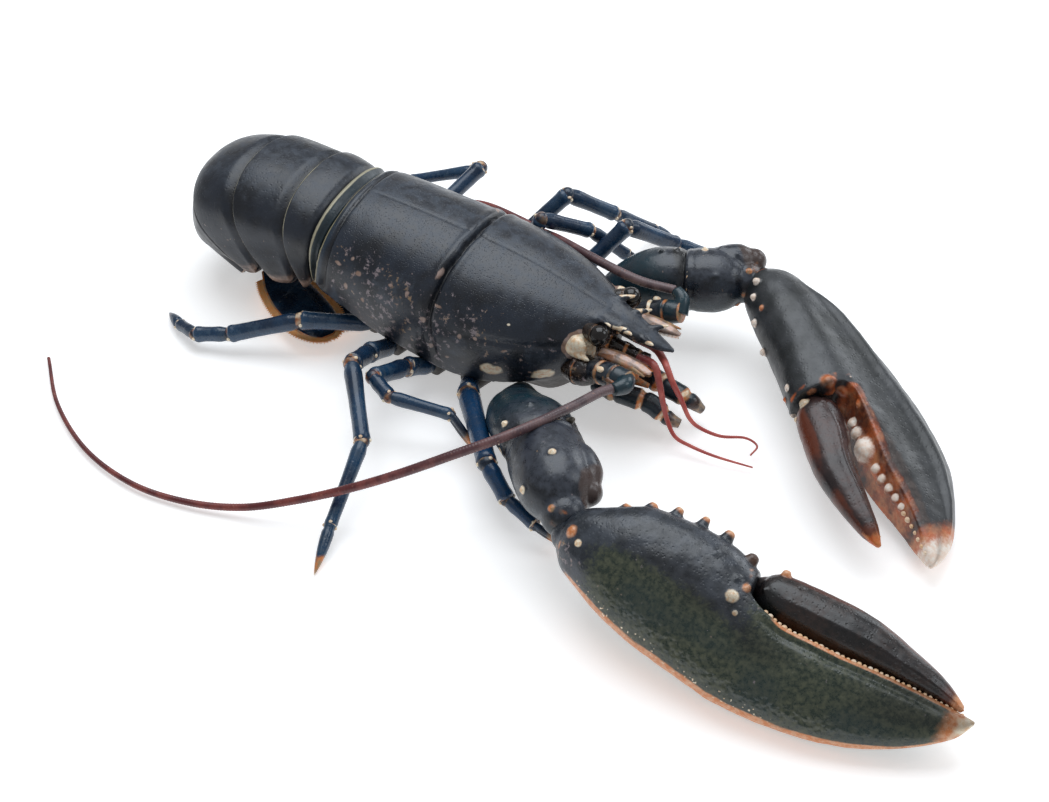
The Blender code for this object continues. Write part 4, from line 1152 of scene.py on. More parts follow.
FINGER_BUMPS = {
    RIGHT: ((786, 576, 2.6, 2.0, "warm"), (765, 590, 1.6, 0.8, ""), (800, 588, 1.6, 0.7, "")),
    LEFT: ((804, 404, 3.0, 1.5, "pale"), (823, 402, 2.0, 0.8, ""), (796, 420, 1.6, 0.9, "pale")),
}


def claw_frame(side):
    """A claw's wrist, and its directions: along it, towards the free finger, and out of its face."""
    wrist, tip = (np.array(CLAWS[side][end], float) for end in ("wrist", "tip"))
    along = unit(tip - wrist)
    level = unit(np.cross((0, 0, 1), along)) * -side
    upright = np.cross(along, level) * -side
    roll = math.radians(CLAWS[side]["roll"])
    across = level * math.cos(roll) + upright * math.sin(roll)
    outward = upright * math.cos(roll) - level * math.sin(roll)
    return wrist, along, across, outward


def claw_rings(side, stations, inner, outer, deep, at, count, power, skew, bite=None):
    """Oval sections along the claw, cut off flat at the biting edge where one is given."""
    wrist, along, across, outward = claw_frame(side)
    rings = []
    for a in at:
        near, far = float(blend(a, stations, inner)), float(blend(a, stations, outer))
        thick = float(blend(a, stations, deep))
        centre = wrist + along * a + across * (near + far) / 2
        half = (far - near) / 2
        ring = oval(centre, across, outward, half, thick, count, power, skew)
        if bite:
            beyond = (ring - wrist) @ across - float(blend(a, stations, bite))
            ring = ring - np.maximum(beyond, 0)[:, None] * across
        rings.append(ring)
    return rings


def claw_coordinates(side, points):
    """Distance along the claw, across it towards the free finger, and out of its face."""
    wrist, along, across, outward = claw_frame(side)
    away = points - wrist
    return away @ along, away @ across, away @ outward


def palm_shape(side):
    """The palm with its fixed finger, spines, knobs and big grinding teeth, and where they are coloured."""
    claw = CLAWS[side]
    wrist, along, across, outward = claw_frame(side)
    last, notch = claw["along"][-1], claw["notch"]
    at = np.concatenate([
        np.linspace(0, notch[0], 58), np.linspace(*notch, 7)[1:-1], np.linspace(notch[1], last, 74),
    ])
    lateral = [-reach for reach in claw["outer"]]
    skew = 0.14 if side == RIGHT else 0.08
    palm = lofted(claw_rings(side, claw["along"], lateral, claw["whole"], claw["thick"], at, 150, 0.94, skew,
                             claw["inner"]))
    shape = Shape().add(palm)
    shape.add(globe(wrist + along * 1.5 + across * 1.0, (6.4, 6.4, 6.4), 26))
    seated = []
    for a, height in zip(claw["spines"], SPINE_HEIGHTS):
        edge = float(blend(a, claw["along"], claw["inner"]))
        root = wrist + along * a + across * (edge - SPINE_SIZE * 0.9) + outward
        tip = root + across * SPINE_SIZE * (0.9 + height * 0.5) + along * 1.6 + outward * 0.8
        shape.add(cone(root, tip, SPINE_SIZE * 0.80, 18, 0.36))
        seated += [(tip - across * 0.4, 2.3, "warm"), (tip + across * 0.3, 1.4, "pale")]
    seated += add_bumps(shape, CLAW_BUMPS[side], Shape().add(palm))
    for a, long, wide in MOLARS if side == LEFT else ():
        reach = float(blend(a, claw["along"], claw["inner"]))
        place = wrist + along * a + across * (reach - wide * 0.2) + outward * 2
        lump = globe(place, (long, wide * 0.95, wide * 0.9), 26, np.array([along, across, outward]))
        bumpy = 0.5 * rough_noise(lump[0], 2.4, int(a))
        lump[0][:] += np.sign(lump[0] - place) * 0.12 * long + bumpy[:, None]
        shape.add(lump)
        seated.append((place + across * wide * 0.5 + outward * 0.9, long * 0.95, "pale"))
    return shape, seated


def build_palm(side, material):
    word, claw = SIDE_NAMES[side], CLAWS[side]
    shape, seated = palm_shape(side)
    mesh = fused(shape, PALM_VOXEL)
    points, normals = mesh_points(mesh)
    a, c, n = claw_coordinates(side, points)
    low_side = -blend(a, claw["along"], claw["outer"])
    share = (c - low_side) / np.maximum(blend(a, claw["along"], claw["whole"]) - low_side, 1)
    from_edge = blend(a, claw["along"], claw["inner"]) - c
    patch, small = noise(points, 9, 311), noise(points, 2.6, 313)
    offset = 0.5 * rough_noise(points, 14, 301 + side)
    if side == RIGHT:
        band = bell(share - 0.15 - 0.03 * noise(points, 20, 5), 0.10) * rise(a, 10, 34) * rise(n, 0, 4)
        band *= rise(a, 130, 105)
        offset += band * 0.6 * np.clip(0.60 - cells(points, 2.3, 305), -0.1, 0.5)
        rough_side = rise(share, 0.55, 0.75) * rise(a, 66, 55)
        offset += 0.35 * rough_side * np.clip(0.5 - cells(points, 6.5, 307), -0.1, 1)
        offset -= 0.8 * bell(from_edge - 3.2, 1.4) * rise(a, 72, 80) * rise(a, 146, 132) * (n > 0)
    else:
        ridge = 0.26 - 0.0006 * (a - 60)
        offset += 2.0 * bell(share - ridge, 0.06) * rise(a, 8, 30) * rise(a, 140, 118) * (n > 0)
        offset -= 1.0 * bell(share - ridge - 0.22, 0.13) * rise(a, 20, 45) * rise(a, 130, 100) * (n > 0)
    points = pushed(mesh, points, normals, offset)
    marks = spot_marks(points, seated)
    outer_rim = rise(share, 0.055, 0.02) * rise(a, 2, 10)
    hinge = bell(a - claw["notch"][0] + 1.0, 1.8) * rise(share, 0.5, 0.62)
    # The dark behind the notch is painted shade in the free finger's socket.
    lift(marks, warm=(bell(a - 0.5, 1.6) * (0.3 + 0.8 * small), hinge * (0.35 + 0.5 * small)),
         dark=0.8 * bell(a - claw["notch"][1], 1.5) * rise(share, 0.6, 0.8))
    if side == RIGHT:
        # Painted glints: white specks along the outer rim that stand for reflections of the bright floor on
        # its beads.
        painted_glints = rise(cells(points, 1.7, 309), 0.42, 0.18) * rise(share, 0.13, 0.07) * rise(share, 0.0, 0.03)
        bite = rise(from_edge, 1.7, 0.8) * rise(a, 74, 82) * (n > 0)
        lift(
            marks,
            warm=(outer_rim * (0.85 + 0.3 * patch), 0.9 * bite, 0.85 * rise(a, 134, 147)),
            pale=(0.75 * painted_glints * rise(a, 6, 14) * rise(a, 104, 84),
                  0.75 * rise(a, 138, 149) * (0.8 + 0.4 * small)),
            # The first dark term is a painted shade band where the palm's face turns away under its upper
            # part.
            dark=(0.55 * bell(share - 0.56 - 0.06 * patch, 0.12) * rise(a, 14, 40) * rise(a, 100, 70),
                  0.5 * rise(a, 100, 130) * rise(share, 0.15, 0.5)),
            fleck=0.2 + 0.25 * rise(patch, 0, 0.6) + 0.9 * rise(a, 22, 4) * rise(share, 0.5, 0.2),
            tone=np.maximum(rise(share, 0.66, 0.40) * rise(a, 4, 26), rise(a, 58, 84)),
            blue=0.45 * rise(share, 0.55, 0.25) * rise(noise(points, 16, 317), -0.2, 0.4),
            rough=band + 0.2 * rough_side,
        )
    else:
        raw = rise(from_edge, 7.5 - 0.03 * a, 2.0) * rise(a, 63, 67) * rise(a, 140, 118)
        lift(
            marks,
            warm=(raw * (0.50 + 0.24 * patch + 0.12 * small), 0.7 * rise(a, 120, 134),
                  outer_rim * (0.2 + 0.4 * patch) * rise(a, 20, 40)),
            pale=0.78 * rise(a, 122, 142),
            # A painted shade band in the hollow beyond the ridge.
            dark=0.4 * bell(share - 0.5, 0.1) * rise(a, 60, 80),
            edge=raw * (0.75 + 0.4 * patch),
            fleck=0.10 + 0.1 * rise(patch, 0.2, 0.7),
            tone=(rise(share, 0.5, 0.75) * rise(a, 62, 84),
                  0.35 * rise(noise(points, 24, 319), 0.0, 0.5) * rise(share, 0.4, 0.6)),
        )
    finish_piece(f"shell_claw_{word}_palm", mesh, material, "blue_black_shell", [f"claw_{word}_palm"],
                 **marks)


def build_finger(side, material):
    word, claw = SIDE_NAMES[side], CLAWS[side]
    first, final = claw["finger"][0], claw["finger"][-1]
    wrist, along, across, _ = claw_frame(side)
    at = np.linspace(first, final, 90)
    rings = claw_rings(side, claw["finger"], claw["bite"], claw["far"], claw["deep"], at, 80, 0.96, -0.05)
    shape = Shape().add(lofted(rings))
    mid = float(sum(blend(first + 3, claw["finger"], claw[edge]) for edge in ("bite", "far"))) / 2
    shape.add(globe(wrist + along * (first + 2.0) + across * mid, (5.6, 5.6, 5.6), 24))
    seated = add_bumps(shape, FINGER_BUMPS[side])
    mesh = fused(shape, FINGER_VOXEL)
    points, normals = mesh_points(mesh)
    a, c, n = claw_coordinates(side, points)
    near, far = blend(a, claw["finger"], claw["bite"]), blend(a, claw["finger"], claw["far"])
    share = (c - near) / np.maximum(far - near, 1)
    ridge = 0.5 * bell(share - 0.45, 0.08) * (n > 0) * rise(a, first + 6, first + 16)
    points = pushed(mesh, points, normals, 0.3 * rough_noise(points, 10, 331 + side) + ridge)
    marks = spot_marks(points, seated)
    patch, small = noise(points, 8, 341), noise(points, 2.5, 343)
    marks["edge"] = rise(share, 0.80, 0.97) * (0.7 + 0.5 * patch)
    lift(
        marks,
        edge=0.8 * rise(a, final - 16, final - 2),
        warm=(0.75 * rise(a, final - 9, final - 1) + 0.3 * rise(share, 0.95, 1.0),
              0.45 * rise(share, 0.1, 0.0) * (0.8 + 0.4 * small)),
        pale=0.35 * rise(a, final - 4, final) * (1 + small),
    )
    # The dark at the finger's root is painted shade in its socket.
    finish_piece(f"shell_claw_{word}_finger", mesh, material, "blue_black_shell", [f"claw_{word}_finger"],
                 dark=0.4 * rise(a, first + 5, first + 1), tone=0.5 + 0.4 * patch, fleck=0.1 + 0.1 * patch,
                 **marks)


def build_teeth(side, tooth):
    """The rows of small pale teeth along the two biting edges."""
    word, claw = SIDE_NAMES[side], CLAWS[side]
    wrist, along, across, outward = claw_frame(side)
    last, final = claw["along"][-1], claw["finger"][-1]
    spacing = 1.9 if side == RIGHT else 3.0
    start = claw["notch"][1] + 7 if side == RIGHT else 119
    row = Shape()
    for k, a in enumerate(np.arange(start, last - 4, spacing)):
        reach = float(blend(a, claw["along"], claw["inner"]))
        grow = 0.86 + 0.18 * math.sin(k * 1.9) + (0.5 if side == LEFT else 0)
        size = grow * (0.62 + 0.38 * float(rise(a, last - 4, last - 40)))
        height = 1.6
        if side == RIGHT:
            # Up on the upper edge of the palm's flat biting face.
            whole, outer, thick = (
                float(blend(a, claw["along"], claw[part])) for part in ("whole", "outer", "thick"))
            middle, half = (whole - outer) / 2, (whole + outer) / 2
            height = thick * math.sqrt(1 - ((reach - middle) / half) ** 2) * 0.96
        place = wrist + along * a + across * (reach - size * 0.2) + outward * height
        row.add(globe(place, (size * 1.05, size, size * 0.85), 12), pale=0.35 + 0.3 * math.sin(k * 2.3))
    piece_of(f"teeth_{word}_palm", row, tooth, "blue_black_shell", [])
    row = Shape()
    for k, a in enumerate(np.arange(claw["finger"][0] + 8, final - 3, spacing)):
        reach = float(blend(a, claw["finger"], claw["bite"]))
        size = (0.72 + 0.16 * math.sin(k * 2.1)) * (0.6 + 0.4 * float(rise(a, final - 2, final - 30)))
        place = wrist + along * a + across * (reach + size * 0.5) + outward * 0.8
        row.add(globe(place, (size, size, size * 0.85), 12), pale=0.2 + 0.3 * math.sin(k * 1.7))
    piece_of(f"teeth_{word}_finger", row, tooth, "blue_black_shell", [])


# Head, feelers and mouth legs

# Middle lines from the head outwards, with radii or half widths and heights along them.
ANTENNAE = {
    RIGHT: (
        (124.6, -29, 35.5), (122, -36, 37.5), (118, -50, 40), (108.5, -73, 42.5), (94, -88, 38),
        (77, -99, 29), (60, -107.5, 20), (42, -114.5, 11), (23, -122.5, 4.5), (3, -129, 2.6),
        (-20, -131.5, 2.3), (-46, -126, 2.1), (-71, -112, 2.0), (-91, -93, 1.8),
    ),
    LEFT: (
        (121, 26.6, 39), (106.5, 24.8, 39), (89, 28, 38), (65.6, 36.6, 33.6), (51.2, 45.6, 25.8),
        (42.5, 46.8, 26.5), (24.5, 51.5, 23.5), (12, 54.5, 18), (3, 54, 11), (-8, 54, 6),
        (-24, 52, 3), (-42, 47, 2.4), (-58, 38, 2.2), (-70, 26, 2.1), (-78, 12, 2),
    ),
}
ANTENNA_RADII = (1.9, 1.8, 1.5, 1.1, 0.7)
BASE_RADII = (4, 4.6, 4.6, 4)
ANTENNA_BASES = {
    RIGHT: ((110.6, -18, 29.2), (117.3, -20.4, 32), (127, -22.2, 34)),
    LEFT: ((110.6, 18, 29.2), (117.3, 19.8, 32), (127, 20.6, 35)),
}
ANTENNULES = {
    RIGHT: (
        (116, -4.5, 30.5), (126, -6, 31.5), (131, -8.3, 32), (134, -10, 26), (136, -11, 20),
        (139, -12.2, 12), (143.5, -14, 7), (150, -13.7, 5), (160, -13, 4), (174, -10, 2.6),
    ),
    LEFT: (
        (116, 4.5, 30), (125, 3, 30), (131, -1.5, 30.3), (134.5, -5.5, 31), (138.5, -7.7, 26.5),
        (142, -7.5, 20), (146, -8, 13), (150, -7, 9), (158, -5.3, 7), (166, -0.6, 6),
        (171.4, -1.3, 5), (171, -6, 4),
    ),
}
ANTENNULE_RADII = (1.9, 1.4, 0.95, 0.65, 0.35)
WHIP_STEP = 0.07
SCALE = ((110, 11.5, 33), (120, 12, 33.5), (131, 12.2, 32))
SCALE_SIDES = (2.4, 3.2, 3, 0.9)
SCALE_UPS = (1.2, 1.4, 1.2, 0.5)
MAXILLIPED_SIDES = (3.432, 4.356, 4.356, 3.96, 1.848)
MAXILLIPED_UPS = (2.88, 3.72, 3.72, 3.36, 1.68)
MAXILLIPEDS = {
    RIGHT: ((106, -7, 11), (118, -9, 13), (129, -7.5, 12), (137, -7.8, 8.5), (142, -7, 7)),
    LEFT: ((106, 7, 11), (118, 6, 13), (130, 3, 13), (141, 1.7, 12), (146, 3.5, 7.5)),
}
# The knob between an antenna and its base: how far its three places are from the base's end,
# from the middle of the gap and from the antenna's start, and its radii.
KNOBS = {
    RIGHT: ((-1.5, 0.5, -0.5), (1.2, 0, 0.3), (0.3, -1.2, 0.2), (3.8, 3.3, 2.3)),
    LEFT: ((-1.0, 0, -1), (1.0, 1.0, 0.5), (0.4, 0.2, 0), (3.6, 3.0, 2.2)),
}


def whip(name, points, radii, spacing, material, replaces, count=10):
    """A whip of short rings: the tube steps in at each joint between them."""
    length = float(np.sum(np.linalg.norm(np.diff(smooth_path(points, 200), axis=0), axis=1)))
    stations = int(length / spacing) * 3 + 1
    rings = pipe(points, radii, radii, stations, count)
    for i in range(0, stations, 3):
        middle = rings[i].mean(0)
        rings[i] = middle + (rings[i] - middle) * (1 - WHIP_STEP)
    share = spread(np.linspace(0, 1, stations), count)
    shape = Shape().add(lofted(rings), tone=rise(share, 0.04, 0.45))
    piece_of(name, shape, material, "red_antenna", replaces)


def segmented(path, radii, count, stations, waists, seed, depth=0.16, ups=None):
    """A limb of several segments: its body, how near each point is to a joint and to the tip, and a noise."""
    rings = pipe(path, radii, ups or radii, stations, count)
    joint, tip = [], np.arange(stations) / (stations - 1)
    for i, (ring, s) in enumerate(zip(rings, tip)):
        middle = ring.mean(0)
        swell = 1 + 0.05 * rough_noise(ring, 4, seed)
        near = 0.0
        for waist in waists:
            swell = swell - depth * bell(s - waist, 0.022) + 0.05 * bell(s - waist + 0.06, 0.03)
            near = max(near, float(bell(s - waist + 0.02, 0.035)))
        rings[i] = middle + (ring - middle) * swell[:, None]
        joint.append(near)
    body = lofted(rings)
    return body, spread(joint, count), spread(tip, count), noise(body[0], 2.6, seed)


def build_antenna_base(side, material):
    path = ANTENNA_BASES[side]
    body, joint, along, patch = segmented(path, BASE_RADII, 30, 50, (0.33, 0.66), 401)
    shape = Shape().add(body, warm=joint * (0.7 + 0.5 * patch) + 0.75 * rise(along, 0.95, 1.0),
                        pale=joint * (0.35 + 0.7 * patch), tone=0.4,
                        blue=0.75 * rise(along, 0.45, 0.7) * rise(along, 0.97, 0.9) * (0.9 + 0.2 * patch))
    root = np.array(path[1])
    shape.add(globe(root + (-1.5, side * 2.4, 3.6), (1.7, 1.3, 1.0), 12), pale=1.0)
    start, end = np.array(ANTENNAE[side][0]), np.array(path[2])
    first, middle, last, radii = KNOBS[side]
    knob = lofted(pipe((end + first, (start + end) / 2 + middle, start + last), radii, radii, 16, 22))
    shape.add(knob, blue=0.9, warm=0.7 * rise(knob[0][:, 2], 33.4, 31.6))
    shape.add(cone(root + (1, side * 3.4, 1.5), root + (7, side * 6.4, 3.0), 1.5, 10), warm=0.5)
    word = SIDE_NAMES[side]
    piece_of(f"stalk_antenna_{word}", shape, material, "blue_black_shell", [f"antenna_base_{word}"])


def build_antenna_scale(side, material):
    """The leaf beside the antenna's base, with hairs along its inner edge and a thorn."""
    path = np.array(SCALE) * (1, side, 1)
    body = lofted(pipe(path, SCALE_SIDES, SCALE_UPS, 36, 24))
    share = (body[0][:, 0] - 110) / 21
    edge = np.abs(body[0][:, 1] - side * 12) / 3
    patch = noise(body[0], 3, 405)
    shape = Shape().add(body, pale=0.65 * rise(edge, 0.9, 0.2) + 0.25 * patch,
                        warm=0.5 + 0.5 * patch * rise(share, 0.2, 0.6))
    for s in 0.35 + 0.6 * np.arange(26) / 25:
        base = path[0] * (1 - s) + path[2] * s + (0, -side * 2.4 * (1 - s**3), 0)
        shape.add(cone(base, base + (1.4, -side * 1.8, -0.4), 0.28, 5, 0.3), warm=1.0)
    shape.add(cone((124, side * 14.2, 33.1), (130, side * 15.0, 32.2), 1.0, 10), warm=0.7)
    word = SIDE_NAMES[side]
    piece_of(f"leaf_scale_{word}", shape, material, "blue_black_shell", [f"antenna_scale_{word}"])


def build_mouth_leg(side, material):
    body, joint, along, patch = segmented(
        MAXILLIPEDS[side], MAXILLIPED_SIDES, 26, 64, (0.28, 0.56, 0.82), 411, 0.2, MAXILLIPED_UPS)
    shape = Shape().add(body, warm=joint * (1.0 + 0.4 * patch), blue=0.25,
                        pale=joint * (0.45 + 0.7 * patch) + 0.46 * rise(along, 0.82, 0.92),
                        edge=0.95 * rise(along, 0.80, 0.92))
    word = SIDE_NAMES[side]
    piece_of(f"mouth_leg_{word}", shape, material, "blue_black_shell", [f"maxilliped_{word}"])


def build_mouth_parts(side, material):
    """The eye's stalk, the thick lower part of the antennule, the cheek and the inner mouth legs."""
    def mirrored(*path):
        return [(x, side * y, z) for x, y, z in path]

    shape = Shape()
    stalk = lofted(pipe(mirrored((99, 8, 38.2), (104, 10.4, 39.8), (108, 12, 40.8)),
                        (3.2, 3.5, 3.7), (3.0, 3.3, 3.5), 16, 22))
    shape.add(stalk, edge=0.6 * rise(stalk[0][:, 0], 104, 107))
    path = mirrored((100, 4.6, 33), (110, 5.0, 32.2), (119, 4.6, 31.0), (126.5, 4.6, 31.0))
    body, joint, _, patch = segmented(path, (3.2, 3.1, 2.7, 2.0), 22, 44, (0.4, 0.66, 0.88), 431, 0.14)
    shape.add(body, warm=joint * (0.75 + 0.4 * patch), pale=joint * (0.2 + 0.5 * patch), fleck=1.0)
    path = mirrored((100, 15.5, 25), (106, 17.5, 26.5), (111, 18, 28))
    body, joint, _, patch = segmented(path, (5.6, 6.2, 4.6), 26, 24, (0.5,), 441)
    shape.add(body, warm=joint * (0.6 + 0.4 * patch), fleck=1.0, blue=0.3 * rise(patch, 0, 0.5))
    for high, out, reach in ((20.5, 5.0, 122), (17.0, 3.2, 126)):
        path = mirrored((103, out, high), (112, out + 1.2, high + 1.0), (reach, out * 0.7, high - 2.0))
        body, joint, along, patch = segmented(path, (2.2, 2.3, 1.0), 16, 36, (0.35, 0.7), 451)
        shape.add(body, warm=0.3 + 0.5 * joint + 0.5 * rise(along, 0.6, 0.9), pale=0.4 * joint * (1 + patch),
                  fleck=1.0)
    piece_of(f"mouth_parts_{SIDE_NAMES[side]}", shape, material, "blue_black_shell", [])


def build_mouth_front(material):
    front = globe(np.array((101.0, 0, 26.0)), (9.5, 15.5, 8.5), 40)
    front[0][:] += 0.5 * rough_noise(front[0], 5, 461)[:, None] * (1, 0, 1)
    shape = Shape().add(front, fleck=1.0, warm=0.35 * rise(noise(front[0], 4, 463), 0, 0.5))
    piece_of("mouth_front", shape, material, "blue_black_shell", [])


# Underside


def build_underside(material):
    rings = []
    for x in np.linspace(6, 102, 49):
        _, _, _, edge, edge_half = carapace_sizes(x)
        ceiling = edge - 0.4
        floor = float(blend(x, (6, 18, 30, 84, 102), (16, 8, 0, 0, 12)))
        foot = float(blend(x, (6, 30, 60, 90, 102), (6, 9, 11, 8, 4)))
        top_half = edge_half * 0.86
        knee = floor + 0.62 * (ceiling - floor)
        corners = np.array([
            (x, -foot, floor), (x, foot, floor), (x, foot + 7, knee), (x, top_half, ceiling - 1),
            (x, top_half - 2, ceiling), (x, 2 - top_half, ceiling), (x, -top_half, ceiling - 1),
            (x, -foot - 7, knee),
        ])
        steps = np.linspace(0, 1, 8, endpoint=False)
        edges = zip(corners, np.roll(corners, -1, axis=0))
        rings.append(np.array([a + (b - a) * s for a, b in edges for s in steps]))
    body = lofted(rings)
    points = body[0]
    low = rise(points[:, 2], 0.2, 1.5)
    step = 0.5 * np.abs(np.sin((points[:, 0] - 6) * math.pi / 17)) ** 6
    points[:, 1] *= 1 - 0.06 * step * low
    points[:, 1] += 0.3 * rough_noise(points, 6, 421) * low
    shape = Shape().add(body, warm=0.15 + 0.2 * noise(points, 6, 423))
    # The body inside the two shells, seen in the joint behind the carapace, and the legs' roots.
    shape.add(lofted([
        oval(np.array((x, 0, 39.0)), np.array((0, 1.0, 0)), np.array((0, 0, 1.0)), half, 0.62 * half, 64)
        for x, half in ((-13, 22.0), (-8, 24.4), (-3, 25.4), (3, 25.4), (9, 25.0))
    ]))
    for (side, number), joints in LEG_JOINTS.items():
        start = np.array(joints[0], float)
        path = (start + (2, -side * 15, 1.5 if number == 5 else 0.5), start + (1, -side * 6, 0.6),
                start + (0, side * 0.5, 0))
        shape.add(lofted(pipe(path, LEG_ROOT_RADII, LEG_ROOT_RADII, 16, 20)))
    piece_of("keel_underside", shape, material, "dark_underside", ["thorax_underside"])


# Floor, light and camera

# Name, place, the point it faces, side length and power of each light.
SOFTBOXES = (
    ("softbox_top", (-0.20, 0.32, 0.95), (0.0, 0.0, 0.0), 0.95, 8.6),
    ("softbox_side", (0.75, 0.45, 0.70), (0.05, 0.0, 0.0), 0.40, 1.6),
    ("softbox_back", (0.30, 1.05, 0.34), (0.05, 0.0, 0.0), 0.45, 1.8),
)
LIGHT_COLOUR = (0.90, 0.95, 1.0)
FLOOR_GLOW, WORLD_GLOW = 0.42, 0.33
SENSOR_WIDTH = 36


def build_stage():
    mesh = bpy.data.meshes.new("floor")
    mesh.from_pydata([(-3, -3, 0), (3, -3, 0), (3, 3, 0), (-3, 3, 0)], [], [(0, 1, 2, 3)])
    floor = linked("floor", mesh)
    material = bpy.data.materials.new("floor_white")
    material.use_nodes = True
    shader = material.node_tree.nodes["Principled BSDF"]
    for name, value in (
        ("Base Color", (0.92, 0.92, 0.92, 1)), ("Roughness", 0.9), ("Specular IOR Level", 0.1),
        ("Emission Color", (1, 1, 1, 1)), ("Emission Strength", FLOOR_GLOW),
    ):
        shader.inputs[name].default_value = value
    mesh.materials.append(material)

    scene = bpy.context.scene
    world = bpy.data.worlds.new("studio")
    world.use_nodes = True
    back = world.node_tree.nodes["Background"]
    back.inputs["Color"].default_value = (1, 1, 1, 1)
    back.inputs["Strength"].default_value = WORLD_GLOW
    scene.world = world

    for name, place, target, size, power in SOFTBOXES:
        lamp = bpy.data.lights.new(name, "AREA")
        lamp.shape = "SQUARE"
        lamp.size = size
        lamp.energy = power
        lamp.color = LIGHT_COLOUR
        item = linked(name, lamp)
        item.location = place
        item.rotation_euler = (Vector(target) - Vector(place)).to_track_quat("-Z", "Y").to_euler()

    camera = bpy.data.cameras.new("camera")
    camera.sensor_width = SENSOR_WIDTH
    camera.lens = SENSOR_WIDTH / 2 / math.tan(HALF_ANGLE)
    camera.clip_start = 0.01
    eye = linked("camera", camera)
    eye.location = (CAMERA - SHIFT) * MM
    eye.rotation_euler = Vector(LOOK).to_track_quat("-Z", "Y").to_euler()
    scene.camera = eye
    scene.view_settings.view_transform = "Standard"
    scene.view_settings.look = "None"


# Each shell's four colours, from deep to light, and then what differs from the usual shell.

BLACK, SLATE, SLATE_GREY = (0.0038, 0.0058, 0.0105), (0.012, 0.019, 0.033), (0.034, 0.046, 0.066)
OLIVE, MAROON = (0.24, 0.215, 0.13), (0.075, 0.018, 0.010)
PINK_CREAM, PINK_ORANGE = (0.84, 0.66, 0.54), (0.70, 0.36, 0.20)
shell = shell_material(
    "shell_blue_black", BLACK, SLATE, (0.017, 0.021, 0.030), SLATE_GREY, edge=OLIVE,
    warm=((0.34, 0.25, 0.22), (0.24, 0.15, 0.11)), gloss=(0.28, 0.44), pits=0.85, pit_depth=0.07)
arm_shell = shell_material(
    "shell_arm", BLACK, (0.014, 0.021, 0.033), (0.022, 0.027, 0.038), (0.042, 0.050, 0.068),
    edge=(0.060, 0.040, 0.036), blue=(0.010, 0.055, 0.078), patch=9, gloss=(0.24, 0.40), pit_depth=0.04)
tail_shell = shell_material(
    "shell_tail", BLACK, (0.011, 0.016, 0.027), (0.016, 0.023, 0.036), (0.032, 0.042, 0.060),
    edge=(0.36, 0.33, 0.23), blue=(0.016, 0.044, 0.060), gloss=(0.28, 0.46), pit_depth=0.05,
    warm=((0.34, 0.23, 0.18), (0.46, 0.34, 0.29)), cream=(PINK_CREAM, (0.60, 0.45, 0.40)))
leg_shell = shell_material(
    "shell_leg", (0.004, 0.011, 0.026), (0.010, 0.034, 0.072), (0.014, 0.056, 0.112), (0.044, 0.084, 0.130),
    patch=9, blue=(0.005, 0.060, 0.165), gloss=(0.2, 0.36), pit_depth=0.05)
cutter_shell = shell_material(
    "shell_cutter", (0.015, 0.020, 0.028), (0.045, 0.054, 0.070), (0.016, 0.028, 0.020),
    (0.074, 0.082, 0.050), warm=(PINK_ORANGE, ORANGE), edge=(0.085, 0.045, 0.03),
    blue=(0.014, 0.042, 0.044), patch=6, gloss=(0.24, 0.42), pit_depth=0.06)
crusher_shell = shell_material(
    "shell_crusher", (0.015, 0.018, 0.020), (0.040, 0.044, 0.050), (0.030, 0.023, 0.022),
    (0.068, 0.050, 0.044), warm=((0.56, 0.13, 0.035), (0.60, 0.24, 0.11)), edge=MAROON,
    cream=(PINK_CREAM, (0.90, 0.82, 0.74)), patch=16, gloss=(0.30, 0.44), pit_depth=0.06)
cutter_finger = shell_material(
    "shell_cutter_finger", (0.004, 0.004, 0.005), (0.014, 0.012, 0.014), (0.009, 0.006, 0.006),
    (0.028, 0.015, 0.012), warm=(PINK_ORANGE, ORANGE), edge=MAROON, patch=8, gloss=(0.26, 0.40),
    pit_depth=0.08)
crusher_finger = shell_material(
    "shell_crusher_finger", (0.016, 0.009, 0.010), (0.034, 0.018, 0.018), (0.030, 0.014, 0.013),
    (0.062, 0.028, 0.024), edge=(0.12, 0.028, 0.012), warm=((0.58, 0.12, 0.03), ORANGE), patch=10,
    gloss=(0.26, 0.38), pit_depth=0.05)
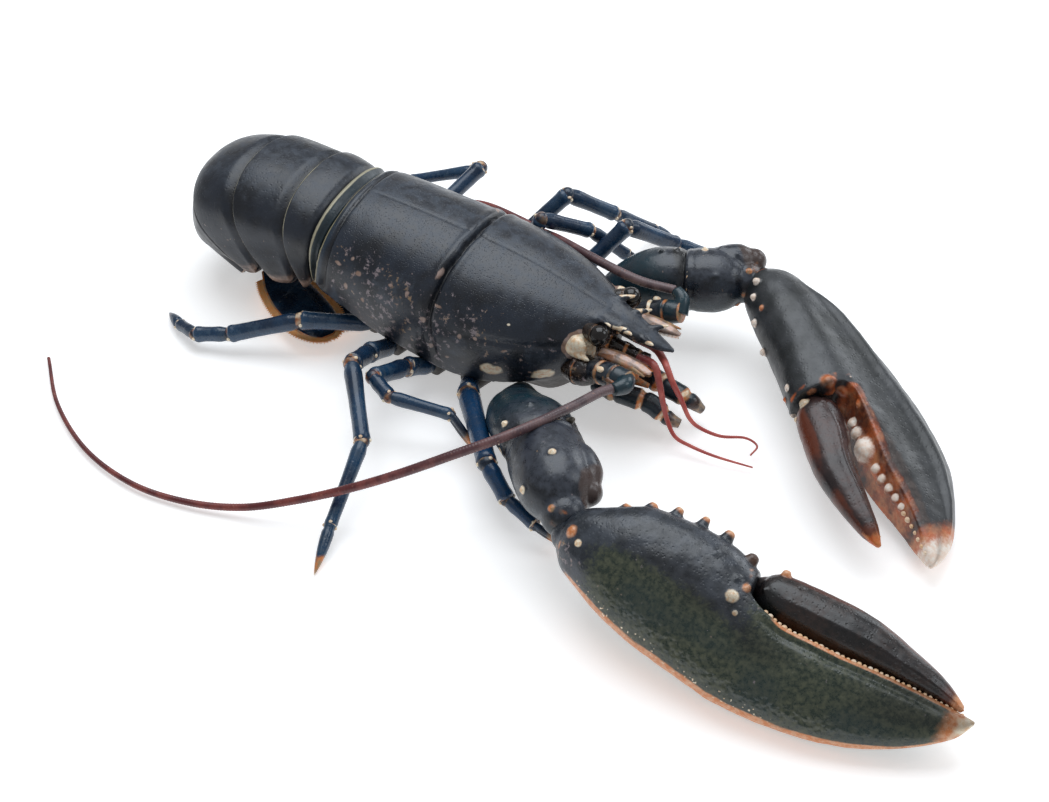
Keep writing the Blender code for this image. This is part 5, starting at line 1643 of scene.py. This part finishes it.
scale_shell = shell_material(
    "shell_scale", (0.10, 0.07, 0.06), (0.2, 0.13, 0.1), (0.3, 0.2, 0.16), (0.4, 0.3, 0.26),
    cream=((0.66, 0.50, 0.46), (0.70, 0.44, 0.30)))
brown_shell = shell_material(
    "shell_brown", (0.008, 0.005, 0.004), (0.030, 0.016, 0.010), (0.05, 0.026, 0.015), (0.10, 0.05, 0.03),
    edge=(0.12, 0.06, 0.03), patch=5, gloss=(0.16, 0.34))
fringe = shell_material(
    "fringe_hair", (0.80, 0.36, 0.12), (0.90, 0.46, 0.18), (0.90, 0.42, 0.15), (0.84, 0.5, 0.25),
    warm=((0.95, 0.43, 0.14), (0.88, 0.48, 0.20)), gloss=(0.5, 0.6), pits=0.8, pit_depth=0.03)
flesh = shell_material(
    "underside_flesh", (0.012, 0.010, 0.009), (0.035, 0.026, 0.020), (0.06, 0.045, 0.035), (0.12, 0.08, 0.06),
    gloss=(0.35, 0.5))
tooth = tooth_material()
maroon = whip_material(
    "whip_maroon", (0.085, 0.058, 0.066), (0.15, 0.10, 0.105), (0.11, 0.020, 0.022), (0.21, 0.045, 0.038))
brick = whip_material(
    "whip_brick", (0.16, 0.032, 0.032), (0.24, 0.055, 0.05), (0.42, 0.065, 0.055), (0.60, 0.14, 0.11))

build_carapace(shell)
build_eyes()
build_tail(tail_shell)
build_fan(leg_shell, fringe)
build_legs(leg_shell)
for side in SIDES:
    build_arm(side, arm_shell)
    build_wrist(side, arm_shell)
for side, palm, finger in ((RIGHT, cutter_shell, cutter_finger), (LEFT, crusher_shell, crusher_finger)):
    build_palm(side, palm)
    build_finger(side, finger)
    build_teeth(side, tooth)
for side in SIDES:
    word = SIDE_NAMES[side]
    whip(f"whip_antenna_{word}", ANTENNAE[side], ANTENNA_RADII, 1.15, maroon, [f"antenna_{word}"], 12)
    whip(f"whip_antennule_{word}", ANTENNULES[side], ANTENNULE_RADII, 0.9, brick, [f"antennule_{word}"])
    build_antenna_base(side, arm_shell)
    build_antenna_scale(side, scale_shell)
    build_mouth_leg(side, arm_shell)
    build_mouth_parts(side, brown_shell)
build_mouth_front(brown_shell)
build_underside(flesh)
build_stage()
